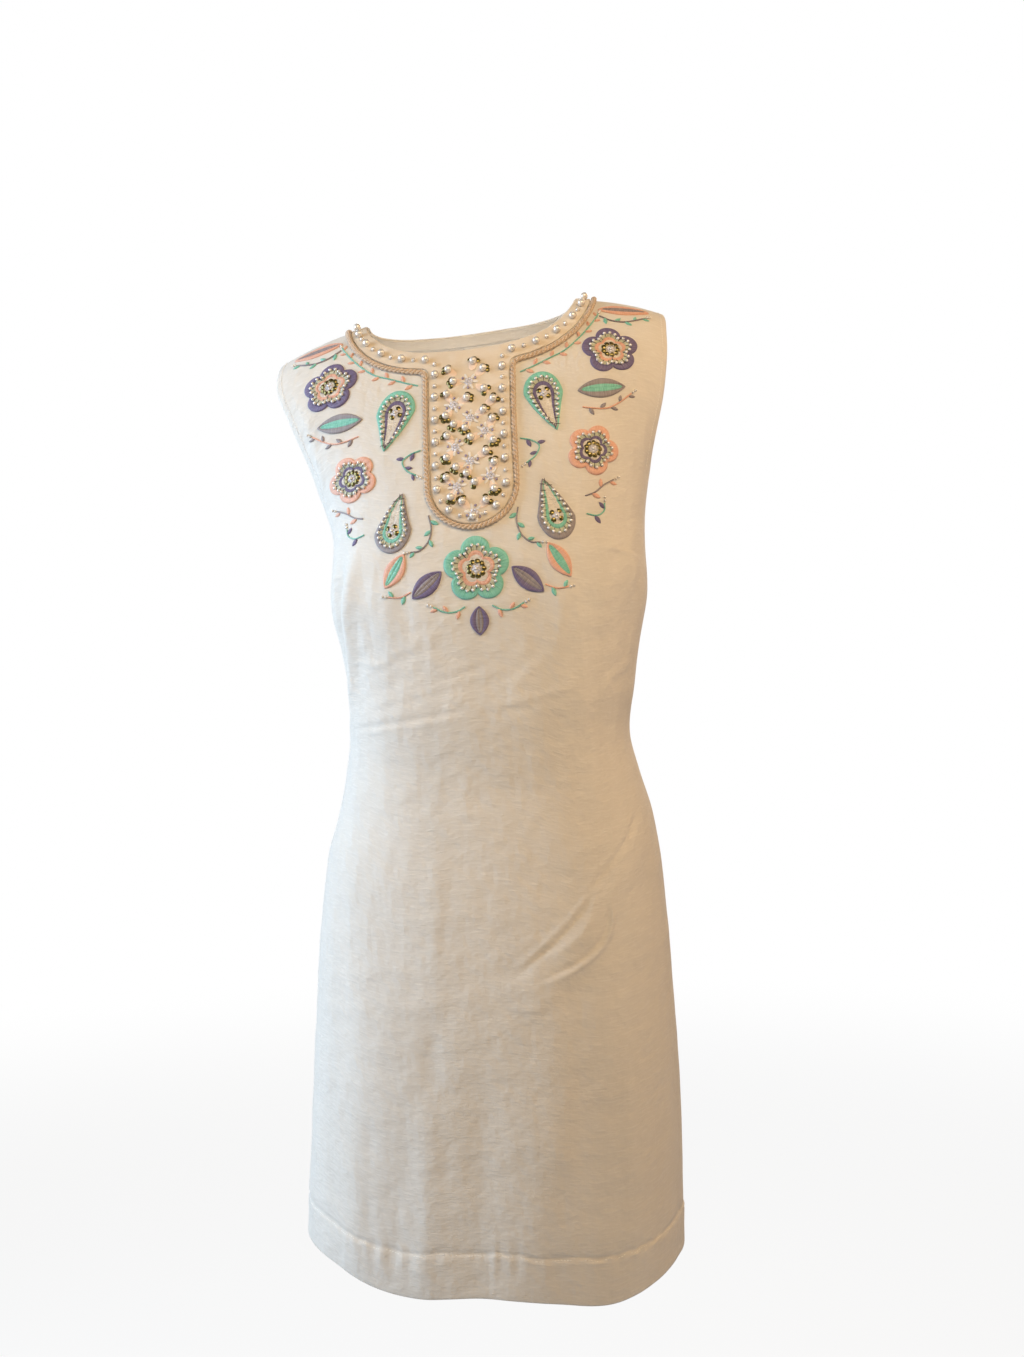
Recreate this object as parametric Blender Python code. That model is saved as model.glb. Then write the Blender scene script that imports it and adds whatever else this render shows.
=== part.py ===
"""A sleeveless shift dress, hanging from the shoulders with its hollow form kept.

The front is one panel and the back is two, joined at a centre seam with a concealed zip.
A beaded backing cut to a T lies on the front, edged with braid, with embroidered motifs beside it.
All sizes below are in millimetres. Z is up, the wearer faces -Y with their left at +X, and left and
right are as worn. The origin is midway between the shoulders, at the height of the neck's ends.
"""

import math

import bmesh
import bpy
import numpy as np
from mathutils import Vector
from mathutils.geometry import delaunay_2d_cdt

NAME = "shift_dress"
MM = 0.001

# cloth
WALL = 1.5
SEAM_GAP = 0.3
HEM_DEPTH = 37.0
HEM_EXTRA = 0.8

# neckline and shoulders; the neckline's depths are measured down the cloth from the ridge
NECK_HALF = 100.0
NECK_DEPTH = {"front": 95.0, "back": 38.0}
NECK_SQUARE = 2.8
NECK_SPREAD = 1.25
SHOULDER_DROP = 30.0
SHOULDER_POWER = 2.87
SHOULDER_TIP = 186.0

# how the dress hangs: one shoulder is higher, and the hem tips the other way
SHOULDER_TILT = 6.3
HEM_TILT = -1.1
TILT_TOP = -80.0
TILT_WAIST = -410.0
TILT_HEM = -900.0
SHIFT_TOP = -10.0
SHIFT_HEM = -3.0

# The form, a row for each level from the shoulder ridge to the hem. Right and left are the half
# widths there, front and back the depths, and square_ the power of each curve. The edge columns
# are the half widths at which the cloth ends, at the armholes.
SECTION_COLUMNS = (
    "level", "right", "left", "front", "back", "square_front", "square_back", "edge_right", "edge_left"
)
SECTIONS = (
    (7, 209, 209, 0, 0, 2.3, 2.3, 186, 186),
    (3, 209, 209, 21, 19, 2.3, 2.3, 186, 186),
    (-8, 210, 210, 41, 36, 2.3, 2.3, 187, 187),
    (-24, 210, 210, 58, 52, 2.3, 2.4, 187, 187),
    (-48, 205, 208, 73, 67, 2.3, 2.4, 184, 187),
    (-78, 192, 203, 86, 80, 2.3, 2.5, 175, 185),
    (-112, 174, 191, 97, 90, 2.3, 2.5, 164, 180),
    (-146, 158, 176.5, 108, 96, 2.4, 2.5, 154, 172.5),
    (-176, 147, 167, 116, 99, 2.4, 2.5, 147, 167),
    (-210, 141, 161, 123, 100, 2.5, 2.5, 141, 161),
    (-245, 144, 159, 129, 100, 2.6, 2.5, 144, 159),
    (-282, 146, 158, 132, 98, 2.6, 2.5, 146, 158),
    (-325, 139, 148, 130, 93, 2.5, 2.5, 139, 148),
    (-365, 135, 140.5, 126, 88, 2.4, 2.4, 135, 140.5),
    (-402, 134, 135, 123, 87, 2.3, 2.4, 134, 135),
    (-442, 138.5, 144, 122, 94, 2.3, 2.4, 138.5, 144),
    (-485, 148, 157, 125, 105, 2.3, 2.4, 148, 157),
    (-530, 159, 164.5, 130, 116, 2.3, 2.4, 159, 164.5),
    (-600, 166, 171, 137, 127, 2.3, 2.3, 166, 171),
    (-680, 171, 176, 142, 134, 2.3, 2.3, 171, 176),
    (-766, 176, 180.5, 146, 139, 2.2, 2.2, 176, 180.5),
    (-900, 182, 182, 148, 142, 2.2, 2.2, 182, 182),
)
UNDERARM_ROW = 8
HEM_ROW = len(SECTIONS) - 1
TABLE = {name: np.array(values, float) for name, values in zip(SECTION_COLUMNS, zip(*SECTIONS))}

# The main folds. Turn is the angle round from the centre line, in degrees, and height is how far
# a fold stands proud, or how deep a trough is where it is negative. A fold runs out past its ends
# by RUN_OUT of its length, fades over FADE of it, and dies away near the side seams.
ROUND_RADIUS = 150.0
RUN_OUT = 0.15
FADE = 0.4
SEAM_CALM = 9.2
FOLD_COLUMNS = ("side", "turn_0", "level_0", "turn_1", "level_1", "width", "height")
FOLDS = (
    ("front", -51, -236, -69, -385, 11, 4.5),
    ("front", -62, -234, -80, -375, 11, -6.5),
    ("front", -78, -398, -20, -402, 13, 2.2),
    ("front", -20, -402, 36, -372, 12, 2.0),
    ("front", 66, -268, 56, -246, 15, 2.5),
    ("front", 70, -290, 50, -310, 16, -1.5),
    ("front", 66, -492, 36, -560, 13, 2.4),
    ("front", 40, -556, 6, -640, 14, 2.6),
    ("front", 35, -588, 10, -655, 13, 2.4),
    ("front", 46, -565, 24, -640, 15, -1.6),
    ("front", -40, -640, -44, -915, 20, 2.4),
    ("front", -24, -760, -23, -915, 17, -2.2),
    ("front", 14, -800, 16, -915, 20, 1.5),
    ("front", 45, -720, 48, -915, 22, 2.2),
    ("front", 74, -700, 76, -915, 17, -1.8),
    ("back", -58, -160, -62, -390, 15, 3.5),
    ("back", 62, -170, 60, -380, 15, 3.0),
    ("back", -70, -455, -22, -430, 13, 2.4),
    ("back", 72, -445, 24, -420, 13, 2.6),
    ("back", -55, -600, -62, -915, 20, 3.0),
    ("back", -28, -640, -30, -915, 19, -2.6),
    ("back", 26, -560, 32, -915, 20, 2.8),
    ("back", 60, -660, 58, -915, 19, -2.4),
)

# panel grids: columns in half a panel, of which some end on the neckline
HALF_COLUMNS = 16
NECK_COLUMNS = 8
BACK_COLUMNS = 10
BACK_NECK_COLUMNS = 5
BODICE_ROWS = 12
SKIRT_ROWS = 20
HEM_ROWS = 2
UNDERARM_CROWDING = 1.6
SHARP_ANGLE = 40.0

# the concealed zip behind the centre back seam
ZIP_WIDTH = 24.0
ZIP_THICK = 1.0
ZIP_LIFT = 0.5
ZIP_COLUMNS = 5
ZIP_FIRST_ROW = 1
ZIP_LAST_ROW = 22

# the beaded T and its trim, laid on the front; "down" runs along the centre front from the ridge
PIECE_LIFT = 0.5
BACKING_THICK = 1.0
BAND_WIDTH = 15.5
BAND_INSET = 1.2
BIB_HALF = 37.0
BIB_BOTTOM = 272.0
BIB_CORNER = 7.0
BIB_CORNER_DROP = 1.5
TRIM_END = 1.5
BRAID_HALF = 2.8
BRAID_THICK = 3.2
BRAID_CLEAR = 0.5
BRAID_STEP = 9.0
BRAID_SIDES = 8
FILL_STEP = 14.0
FILL_MARGIN = 0.4
MERGE = 0.00001

# Pearls of 7 mm, half sunk in their stitches: one row inside the braid, the rest on the bib at
# (across, down). The dome's rings are (share of the radius, share of the height).
PEARL_RADIUS = 3.4
PEARL_HEIGHT = 4.8
PEARL_DOME = ((1.0, 0.0), (0.72, 0.72), (0.0, 1.0))
PEARL_CLEAR = 5.8
PEARL_PITCH = 23.0
PEARL_INSET = 6.2
PEARL_SIDES = 6
BIB_PEARLS = (
    (13, 122),
    (-14, 132),
    (-2, 150),
    (13, 164),
    (-14, 176),
    (1, 191),
    (14, 206),
    (-13, 218),
    (3, 234),
    (-9, 251),
    (12, 252),
)

# The embroidered motifs of the left side as worn; the right side mirrors them. Across and down
# place a motif's root, or a flower's middle; turn is anticlockwise in degrees from the side.
MOTIF_THICK = 1.1
MOTIF_STEP = 10.0
PETALS = 5
PETAL_POINTS = 6
PETAL_VALLEY = 0.72
PETAL_POWER = 0.7
LEAF_POINTS = 8
LEAF_POWER = 0.8
PAISLEY_POINTS = 14
PAISLEY_WAIST = 0.62
PAISLEY_CURL = 0.36
MOTIF_COLUMNS = ("name", "kind", "across", "down", "length", "width", "turn", "colour")
SIDE_MOTIFS = (
    ("shoulder_leaf", "leaf", 121, 53, 50, 20, 12, "peach"),
    ("top_flower", "flower", 131, 109, 54, 54, 24, "lilac"),
    ("upper_paisley", "paisley", 66, 191, 60, 36, 90, "mint"),
    ("upper_leaf", "leaf", 99, 153, 45, 20, 4, "grey"),
    ("middle_flower", "flower", 110, 212, 48, 48, -8, "peach"),
    ("lower_paisley", "paisley", 75, 236, 56, 34, -90, "grey"),
    ("lower_leaf", "leaf", 64, 294, 36, 18, -58, "peach"),
    ("centre_leaf", "leaf", 31, 313, 36, 18, -40, "lilac"),
)
CENTRE_MOTIFS = (
    ("centre_flower", "flower", 0, 313, 60, 60, 90, "mint"),
    ("tip_leaf", "leaf", 0, 346, 26, 17, -90, "lilac"),
)

# each material's base colour and roughness
MATERIALS = {
    "ivory_slub": ((0.82, 0.79, 0.72), 0.72),
    "backing": ((0.84, 0.80, 0.72), 0.6),
    "braid": ((0.62, 0.50, 0.36), 0.6),
    "peach": ((0.85, 0.52, 0.38), 0.5),
    "mint": ((0.35, 0.66, 0.56), 0.5),
    "grey": ((0.40, 0.38, 0.36), 0.5),
    "lilac": ((0.30, 0.25, 0.42), 0.5),
    "zip": ((0.78, 0.75, 0.69), 0.6),
}


# ---------------------------------------------------------------- the form
def column(name, row):
    """A section column at a fractional row, on a smooth curve that runs level over the ridge."""
    values = TABLE[name]
    row = np.clip(np.asarray(row, float), 0.0, len(values) - 1.0)
    slopes = np.gradient(values)
    slopes[0] = values[1] if name in ("front", "back") else 0.0
    i = np.minimum(row.astype(int), len(values) - 2)
    t = row - i
    return (
        values[i] * (2 * t**3 - 3 * t**2 + 1)
        + slopes[i] * (t**3 - 2 * t**2 + t)
        + values[i + 1] * (3 * t**2 - 2 * t**3)
        + slopes[i + 1] * (t**3 - t**2)
    )


def smooth(t):
    """A soft step from 0 to 1."""
    t = np.clip(t, 0.0, 1.0)
    return t * t * (3 - 2 * t)


def half_width(x_sign, row):
    """The half width on the side that x_sign points to."""
    return np.where(x_sign < 0, column("right", row), column("left", row))


def form(side, psi, row):
    """The plain form, before folds and tilt: psi runs from the centre, 90 degrees at a side seam."""
    power = column("square_" + side, row)
    x = half_width(psi, row) * np.sin(psi)
    depth = np.maximum(1 - np.abs(np.sin(psi)) ** power, 0.0) ** (1 / power)
    y = column(side, row) * depth * (-1 if side == "front" else 1)
    fall = SHOULDER_DROP * (np.abs(x) / SHOULDER_TIP) ** SHOULDER_POWER
    z = column("level", row) - fall * (1 - smooth(row / UNDERARM_ROW))
    return np.stack([x, y, z], axis=-1)


def normals(side, surface, psi, row, step=0.002):
    """Outward unit normals from small steps, which stay on the same panel at its edges."""
    right = np.minimum(psi + step, math.pi / 2)
    left = np.maximum(psi - step, -math.pi / 2)
    below = np.minimum(row + step * 5, HEM_ROW)
    above = np.maximum(row - step * 5, 0.0)
    across = surface(right, row) - surface(left, row)
    down = surface(psi, below) - surface(psi, above)
    out = np.cross(across, -down) * (1 if side == "front" else -1)
    return out / np.linalg.norm(out, axis=-1, keepdims=True)


def fold_height(side, psi, level):
    """How far the folds lift the cloth there."""
    total = np.zeros(np.shape(psi))
    for fold in FOLDS:
        f = dict(zip(FOLD_COLUMNS, fold))
        if f["side"] != side:
            continue
        start = np.array([math.radians(f["turn_0"]) * ROUND_RADIUS, f["level_0"]])
        along = np.array([math.radians(f["turn_1"]) * ROUND_RADIUS, f["level_1"]]) - start
        length = np.linalg.norm(along)
        along = along / length
        point = np.stack([psi * ROUND_RADIUS, level], axis=-1) - start
        t = (point @ along) / length
        off = point @ np.array([-along[1], along[0]])
        ends = smooth((t + RUN_OUT) / FADE) * smooth((1 + RUN_OUT - t) / FADE)
        total = total + f["height"] * ends * np.exp(-((off / f["width"]) ** 2))
    seam = smooth((math.pi / 2 - np.abs(psi)) / math.radians(SEAM_CALM))
    return total * seam


def hang(points):
    """The tilt of the shoulders and hem, and the sideways shift of the bodice."""
    x, y, z = points[..., 0], points[..., 1], points[..., 2]
    top = smooth((z - TILT_WAIST) / (TILT_TOP - TILT_WAIST))
    low = np.clip((TILT_WAIST - z) / (TILT_WAIST - TILT_HEM), 0.0, 1.1)
    rise = math.tan(math.radians(SHOULDER_TILT)) * top + math.tan(math.radians(HEM_TILT)) * low
    return np.stack([x + SHIFT_TOP * top + SHIFT_HEM * low, y, z + x * rise], axis=-1)


def cloth(side):
    """The outer surface of one side as a function of psi and row."""

    def surface(psi, row):
        plain = form(side, psi, row)
        out = normals(side, lambda a, b: form(side, a, b), psi, row)
        return hang(plain + out * fold_height(side, psi, plain[..., 2])[..., None])

    return surface


# distance down the centre line from the ridge, at closely spaced rows as far as the waist
DOWN_ROWS = np.linspace(0, UNDERARM_ROW + 6, 1401)
DOWN = {}
for SIDE in ("front", "back"):
    CENTRE_LINE = form(SIDE, np.zeros(len(DOWN_ROWS)), DOWN_ROWS)
    STEPS = np.linalg.norm(np.diff(CENTRE_LINE, axis=0), axis=1)
    DOWN[SIDE] = np.concatenate([[0.0], np.cumsum(STEPS)])


def psi_row(side, points):
    """psi and row of points (across, down), where down runs along the centre from the ridge."""
    points = np.asarray(points, float)
    row = np.interp(points[..., 1], DOWN[side], DOWN_ROWS)
    width = half_width(points[..., 0], row)
    return np.arcsin(np.clip(points[..., 0] / width, -1, 1)), row


def neckline(side, extra=0.0):
    """Half of the neckline, or of a curve outside it, as close points from the centre."""
    turn = np.linspace(0, math.pi / 2, 400)
    across = (NECK_HALF + extra) * np.sin(turn) ** (2 / NECK_SQUARE)
    down = (NECK_DEPTH[side] + NECK_SPREAD * extra) * np.cos(turn) ** (2 / NECK_SQUARE)
    return np.stack([across, down], axis=-1)


def along_line(line, shares):
    """Points at given shares of a line's length."""
    along = np.concatenate([[0], np.cumsum(np.linalg.norm(np.diff(line, axis=0), axis=1))])
    at = np.asarray(shares) * along[-1]
    return np.stack([np.interp(at, along, line[:, k]) for k in (0, 1)], axis=-1)


def evenly(line, step):
    """Points along a line at about one step from each other."""
    length = np.linalg.norm(np.diff(line, axis=0), axis=1).sum()
    return along_line(line, np.linspace(0, 1, int(round(length / step)) + 1))


# ---------------------------------------------------------------- the panels
def panel_grid(side, shares, neck_share):
    """psi and row of a panel's grid: shares run across it, rows run from its top to the hem."""
    shares = np.asarray(shares, float)
    sign = np.where(shares < 0, -1.0, 1.0)
    at_neck = along_line(neckline(side), np.clip(np.abs(shares) / neck_share, 0, 1))
    outwards = np.clip((np.abs(shares) - neck_share) / (1 - neck_share), 0, 1)
    at_shoulder = NECK_HALF + (SHOULDER_TIP - NECK_HALF) * outwards
    neck = np.abs(shares) < neck_share
    top = np.stack([np.where(neck, at_neck[:, 0], at_shoulder) * sign, np.where(neck, at_neck[:, 1], 0)], -1)
    top_psi, top_row = psi_row(side, top)

    def edge_psi(row):
        edge = np.where(sign < 0, column("edge_right", row), column("edge_left", row))
        return np.arcsin(np.clip(edge / half_width(sign, row), 0, 1))

    bodice = 1 - (1 - np.linspace(0, 1, BODICE_ROWS + 1)[:, None]) ** UNDERARM_CROWDING
    row_high = top_row + (UNDERARM_ROW - top_row) * bodice
    start = top_psi / edge_psi(top_row)
    psi_high = (start + (shares - start) * bodice) * edge_psi(row_high)
    psi_high[-1] = shares * math.pi / 2
    stitch_level = TABLE["level"][-1] + HEM_DEPTH
    levels = np.linspace(TABLE["level"][UNDERARM_ROW], stitch_level, SKIRT_ROWS + 1)[1:]
    levels = np.append(levels, np.linspace(stitch_level, TABLE["level"][-1], HEM_ROWS + 1)[1:])
    low = np.interp(-levels, -TABLE["level"], np.arange(len(SECTIONS)))[:, None]
    row_low = np.repeat(low, len(shares), axis=1)
    psi_low = np.repeat(shares[None, :] * math.pi / 2, len(low), axis=0)
    return np.vstack([psi_high, psi_low]), np.vstack([row_high, row_low])


def two_skins(outer, inner):
    """A closed wall from two grids of points: two grid meshes, bridged round their edges."""
    rows, columns = outer.shape[:2]
    bm = bmesh.new()
    for points, inside in ((outer, False), (inner, True)):
        made = bmesh.ops.create_grid(bm, x_segments=columns - 1, y_segments=rows - 1, size=1.0)
        verts = made["verts"]
        order = sorted(range(len(verts)), key=lambda i: (-round(verts[i].co.y, 5), verts[i].co.x))
        for place, i in enumerate(order):
            verts[i].co = points[place // columns, place % columns] * MM
        if inside:
            bmesh.ops.reverse_faces(bm, faces=list({f for v in verts for f in v.link_faces}))
    bmesh.ops.bridge_loops(bm, edges=[e for e in bm.edges if e.is_boundary])
    bmesh.ops.triangulate(bm, faces=bm.faces[:], quad_method="FIXED")
    return bm


def make_panel(name, side, shares, neck_share):
    """A panel's wall, thicker at the turned-up hem, its seam edges half a gap back."""
    psi, row = panel_grid(side, shares, neck_share)
    surface = cloth(side)
    outer = surface(psi, row)
    out = normals(side, surface, psi, row)
    hem = (np.arange(len(psi)) >= BODICE_ROWS + SKIRT_ROWS)[:, None, None]
    inner = outer - out * (WALL + HEM_EXTRA * hem)
    clear = SEAM_GAP / 2
    for points in (outer, inner):
        away = -clear if side == "front" else clear
        points[0, np.abs(shares) >= neck_share - 1e-9, 1] += away
        for end in (0, -1):
            if abs(shares[end]) > 0.5:
                points[BODICE_ROWS:, end, 1] += away
            else:
                points[:, end, 0] += clear * (1 if shares[-1] > 0.5 else -1)
    return finish(name, two_skins(outer, inner), "ivory_slub")


# ---------------------------------------------------------------- pieces laid on the front
def on_front(points, lift):
    """Points (across, down) of the front, moved out from its surface by lift."""
    psi, row = psi_row("front", points)
    surface = cloth("front")
    return surface(psi, row) + normals("front", surface, psi, row) * np.asarray(lift)[..., None]


def trim_line(out, step):
    """The edge of the T from shoulder to shoulder round the bib, or a line that far outside it."""
    half = BIB_HALF + out
    band = neckline("front", BAND_WIDTH + out)[::-1]
    band = band[(band[:, 0] >= half + BIB_CORNER) & (band[:, 1] >= TRIM_END)]
    end = band[-1]
    turn_in = np.linspace(0, 1, 8)[1:, None]
    corner = np.array([half, end[1] + BIB_CORNER_DROP])
    after = corner + [0, BIB_CORNER]
    bend = end * (1 - turn_in) ** 2 + corner * 2 * turn_in * (1 - turn_in) + after * turn_in**2
    turns = np.linspace(0, math.pi / 2, 16)
    centre = BIB_BOTTOM - BIB_HALF
    round_end = np.stack([half * np.cos(turns), centre + half * np.sin(turns)], axis=-1)
    side = np.concatenate([band, bend, round_end])
    return evenly(np.concatenate([side, side[-2::-1] * [-1, 1]]), step)


def inside(points, outline, margin):
    """Which points lie inside a closed outline, at least margin from it."""
    a, b = outline, np.roll(outline, -1, axis=0)
    keep = []
    for p in points:
        level = (a[:, 1] > p[1]) != (b[:, 1] > p[1])
        rise = np.where(level, b[:, 1] - a[:, 1], 1.0)
        crosses = level & (p[0] < (b[:, 0] - a[:, 0]) * (p[1] - a[:, 1]) / rise + a[:, 0])
        t = np.clip(((p - a) * (b - a)).sum(1) / ((b - a) ** 2).sum(1), 0, 1)
        far = np.linalg.norm(a + t[:, None] * (b - a) - p, axis=1).min()
        keep.append(crosses.sum() % 2 == 1 and far >= margin)
    return np.array(keep, bool)


def fill_points(outline, step):
    """Points on a triangular grid inside an outline."""
    low, high = outline.min(axis=0), outline.max(axis=0)
    rows = np.arange(low[1], high[1], step * math.sqrt(3) / 2)
    grid = [
        (x + step / 2 * (k % 2), y) for k, y in enumerate(rows) for x in np.arange(low[0], high[0], step)
    ]
    grid = np.array(grid)
    return grid[inside(grid, outline, step * FILL_MARGIN)]


def laid_piece(name, outline, colour, thick, step, pearls=()):
    """A thin closed piece on the front, with pearls raised in its outer skin."""
    points, raised = [tuple(p) for p in outline], [0.0] * len(outline)
    for centre in pearls:
        for share, height in PEARL_DOME:
            for k in range(PEARL_SIDES if share else 1):
                turn = math.tau * k / PEARL_SIDES
                point = centre + PEARL_RADIUS * share * np.array([math.cos(turn), math.sin(turn)])
                points.append(tuple(point))
                raised.append(PEARL_HEIGHT * height)
    for p in fill_points(outline, step):
        if all(math.dist(p, centre) > PEARL_CLEAR for centre in pearls):
            points.append(tuple(p))
            raised.append(0.0)
    ring = list(range(len(outline)))
    flat, _, faces, sources, _, _ = delaunay_2d_cdt([Vector(p) for p in points], [], [ring], 1, MERGE)
    raised = np.array([raised[source[0]] for source in sources])
    flat = np.array([tuple(p) for p in flat])
    bm = bmesh.new()
    outer = [bm.verts.new(p * MM) for p in on_front(flat, PIECE_LIFT + thick + raised)]
    inner = [bm.verts.new(p * MM) for p in on_front(flat, np.full(len(flat), PIECE_LIFT))]
    for corners in faces:
        bm.faces.new([outer[i] for i in corners])
        bm.faces.new([inner[i] for i in reversed(corners)])
    bmesh.ops.bridge_loops(bm, edges=[e for e in bm.edges if e.is_boundary])
    bmesh.ops.triangulate(bm, faces=bm.faces[:])
    return finish(name, bm, colour)


def make_backing():
    """The beaded T: the neck band from shoulder to shoulder, with the bib below it."""
    top = evenly(neckline("front", BAND_INSET), BRAID_STEP)
    top = top[top[:, 1] >= TRIM_END]
    top = np.concatenate([top[:0:-1] * [-1, 1], top])
    outline = np.concatenate([top, trim_line(0.0, BRAID_STEP)])
    row = trim_line(-PEARL_INSET, PEARL_PITCH)[1:-1]
    pearls = np.concatenate([row, np.array(BIB_PEARLS, float)])
    return laid_piece("beaded_bib", outline, "backing", BACKING_THICK, FILL_STEP, pearls)


def make_braid():
    """The twisted braid, as a flattened tube that lies on the front round the T."""
    path = trim_line(BRAID_HALF + BRAID_CLEAR, BRAID_STEP)
    along = np.gradient(path, axis=0)
    along /= np.linalg.norm(along, axis=1, keepdims=True)
    sideways = np.stack([-along[:, 1], along[:, 0]], axis=-1)
    turns = math.tau * (np.arange(BRAID_SIDES) + 0.5) / BRAID_SIDES
    flat_side = math.sin(turns[1])
    bm = bmesh.new()
    rings = []
    for turn in turns:
        lift = PIECE_LIFT + BRAID_THICK / 2 * (1 + math.sin(turn) / flat_side)
        points = on_front(path + sideways * BRAID_HALF * math.cos(turn), np.full(len(path), lift))
        rings.append([bm.verts.new(p * MM) for p in points])
    for k, here in enumerate(rings):
        after = rings[(k + 1) % BRAID_SIDES]
        for i in range(len(path) - 1):
            bm.faces.new((here[i], here[i + 1], after[i + 1], after[i]))
    for end in (0, -1):
        bm.faces.new([ring[end] for ring in rings])
    bmesh.ops.triangulate(bm, faces=bm.faces[:])
    return finish("braid", bm, "braid")


def motif_outline(kind, length, width):
    """A motif's outline, pointing to +across from its root, or round a flower's middle."""
    if kind == "flower":
        turns = np.linspace(0, math.tau, PETALS * PETAL_POINTS, endpoint=False)
        petal = np.abs(np.cos(turns * PETALS / 2)) ** PETAL_POWER
        radius = length / 2 * (PETAL_VALLEY + (1 - PETAL_VALLEY) * petal)
        return np.stack([radius * np.cos(turns), radius * np.sin(turns)], axis=-1)
    if kind == "leaf":
        t = np.linspace(0, 1, LEAF_POINTS)
        half = width / 2 * np.maximum(np.sin(math.pi * t), 0) ** LEAF_POWER
        middle = np.zeros(LEAF_POINTS)
    else:
        t = (1 - np.cos(np.linspace(0, math.pi, PAISLEY_POINTS))) / 2
        narrow = (t / PAISLEY_WAIST) ** LEAF_POWER
        rounded = np.sqrt(np.maximum(1 - ((t - PAISLEY_WAIST) / (1 - PAISLEY_WAIST)) ** 2, 0))
        half = width / 2 * np.where(t < PAISLEY_WAIST, narrow, rounded)
        middle = width * PAISLEY_CURL * (1 - t) ** 2
    upper = np.stack([t * length, middle - half], axis=-1)
    lower = np.stack([t * length, middle + half], axis=-1)
    return np.concatenate([upper, lower[-2:0:-1]])


def make_motif(motif, mirrored, suffix):
    """One embroidered motif of the tables, or its mirror image."""
    m = dict(zip(MOTIF_COLUMNS, motif))
    outline = motif_outline(m["kind"], m["length"], m["width"])
    c, s = math.cos(math.radians(m["turn"])), math.sin(math.radians(m["turn"]))
    outline = outline @ np.array([[c, -s], [s, c]]) + [m["across"], m["down"]]
    if mirrored:
        outline = outline[::-1] * [-1, 1]
    return laid_piece(m["name"] + suffix, outline, m["colour"], MOTIF_THICK, MOTIF_STEP)


def make_zip():
    """The closed zip: its two tapes as one strip behind the centre back seam, on the panels' rows."""
    _, rows = panel_grid("back", [0.0], BACK_NECK_COLUMNS / BACK_COLUMNS)
    rows = rows[ZIP_FIRST_ROW : ZIP_LAST_ROW + 1]
    across = np.linspace(-ZIP_WIDTH / 2, ZIP_WIDTH / 2, ZIP_COLUMNS)[None, :]
    row = np.repeat(rows, across.shape[1], axis=1)
    psi = np.arcsin(across / half_width(across, row))
    surface = cloth("back")
    out = normals("back", surface, psi, row)
    outer = surface(psi, row) - out * (WALL + ZIP_LIFT)
    return finish("back_zip", two_skins(outer, outer - out * ZIP_THICK), "zip")


# ---------------------------------------------------------------- scene
def material(name):
    """The named material, made once."""
    if name in bpy.data.materials:
        return bpy.data.materials[name]
    colour, rough = MATERIALS[name]
    made = bpy.data.materials.new(name)
    made.use_nodes = True
    shader = made.node_tree.nodes["Principled BSDF"]
    shader.inputs["Base Color"].default_value = (*colour, 1)
    shader.inputs["Roughness"].default_value = rough
    shader.inputs["Metallic"].default_value = 0.0
    made.diffuse_color = (*colour, 1)
    return made


def finish(name, bm, colour):
    """The finished object, shaded smooth, in the dress's collection."""
    mesh = bpy.data.meshes.new(name)
    bmesh.ops.recalc_face_normals(bm, faces=bm.faces[:])
    bm.to_mesh(mesh)
    bm.free()
    mesh.shade_smooth()
    mesh.set_sharp_from_angle(angle=math.radians(SHARP_ANGLE))
    mesh.materials.append(material(colour))
    made = bpy.data.objects.new(name, mesh)
    bpy.data.collections[NAME].objects.link(made)
    return made


def main():
    for old in list(bpy.data.objects):
        bpy.data.objects.remove(old, do_unlink=True)
    parts = bpy.data.collections.new(NAME)
    bpy.context.scene.collection.children.link(parts)
    neck_share = NECK_COLUMNS / HALF_COLUMNS
    back_share = BACK_NECK_COLUMNS / BACK_COLUMNS
    make_panel("front_panel", "front", np.linspace(-1, 1, 2 * HALF_COLUMNS + 1), neck_share)
    make_panel("back_panel_right", "back", np.linspace(-1, 0, BACK_COLUMNS + 1), back_share)
    make_panel("back_panel_left", "back", np.linspace(0, 1, BACK_COLUMNS + 1), back_share)
    make_zip()
    make_backing()
    make_braid()
    for motif in SIDE_MOTIFS:
        make_motif(motif, False, "_left")
        make_motif(motif, True, "_right")
    for motif in CENTRE_MOTIFS:
        make_motif(motif, False, "")


main()
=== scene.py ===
"""The finish of a sleeveless shift dress: slub cloth, embroidery, braid, pearls and sequins.

Sizes are in millimetres. Left and right are as worn: the wearer faces -Y with their left at +X.
"""

import math
import random

import bmesh
import bpy
import numpy as np
from mathutils import Matrix, Vector


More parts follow.
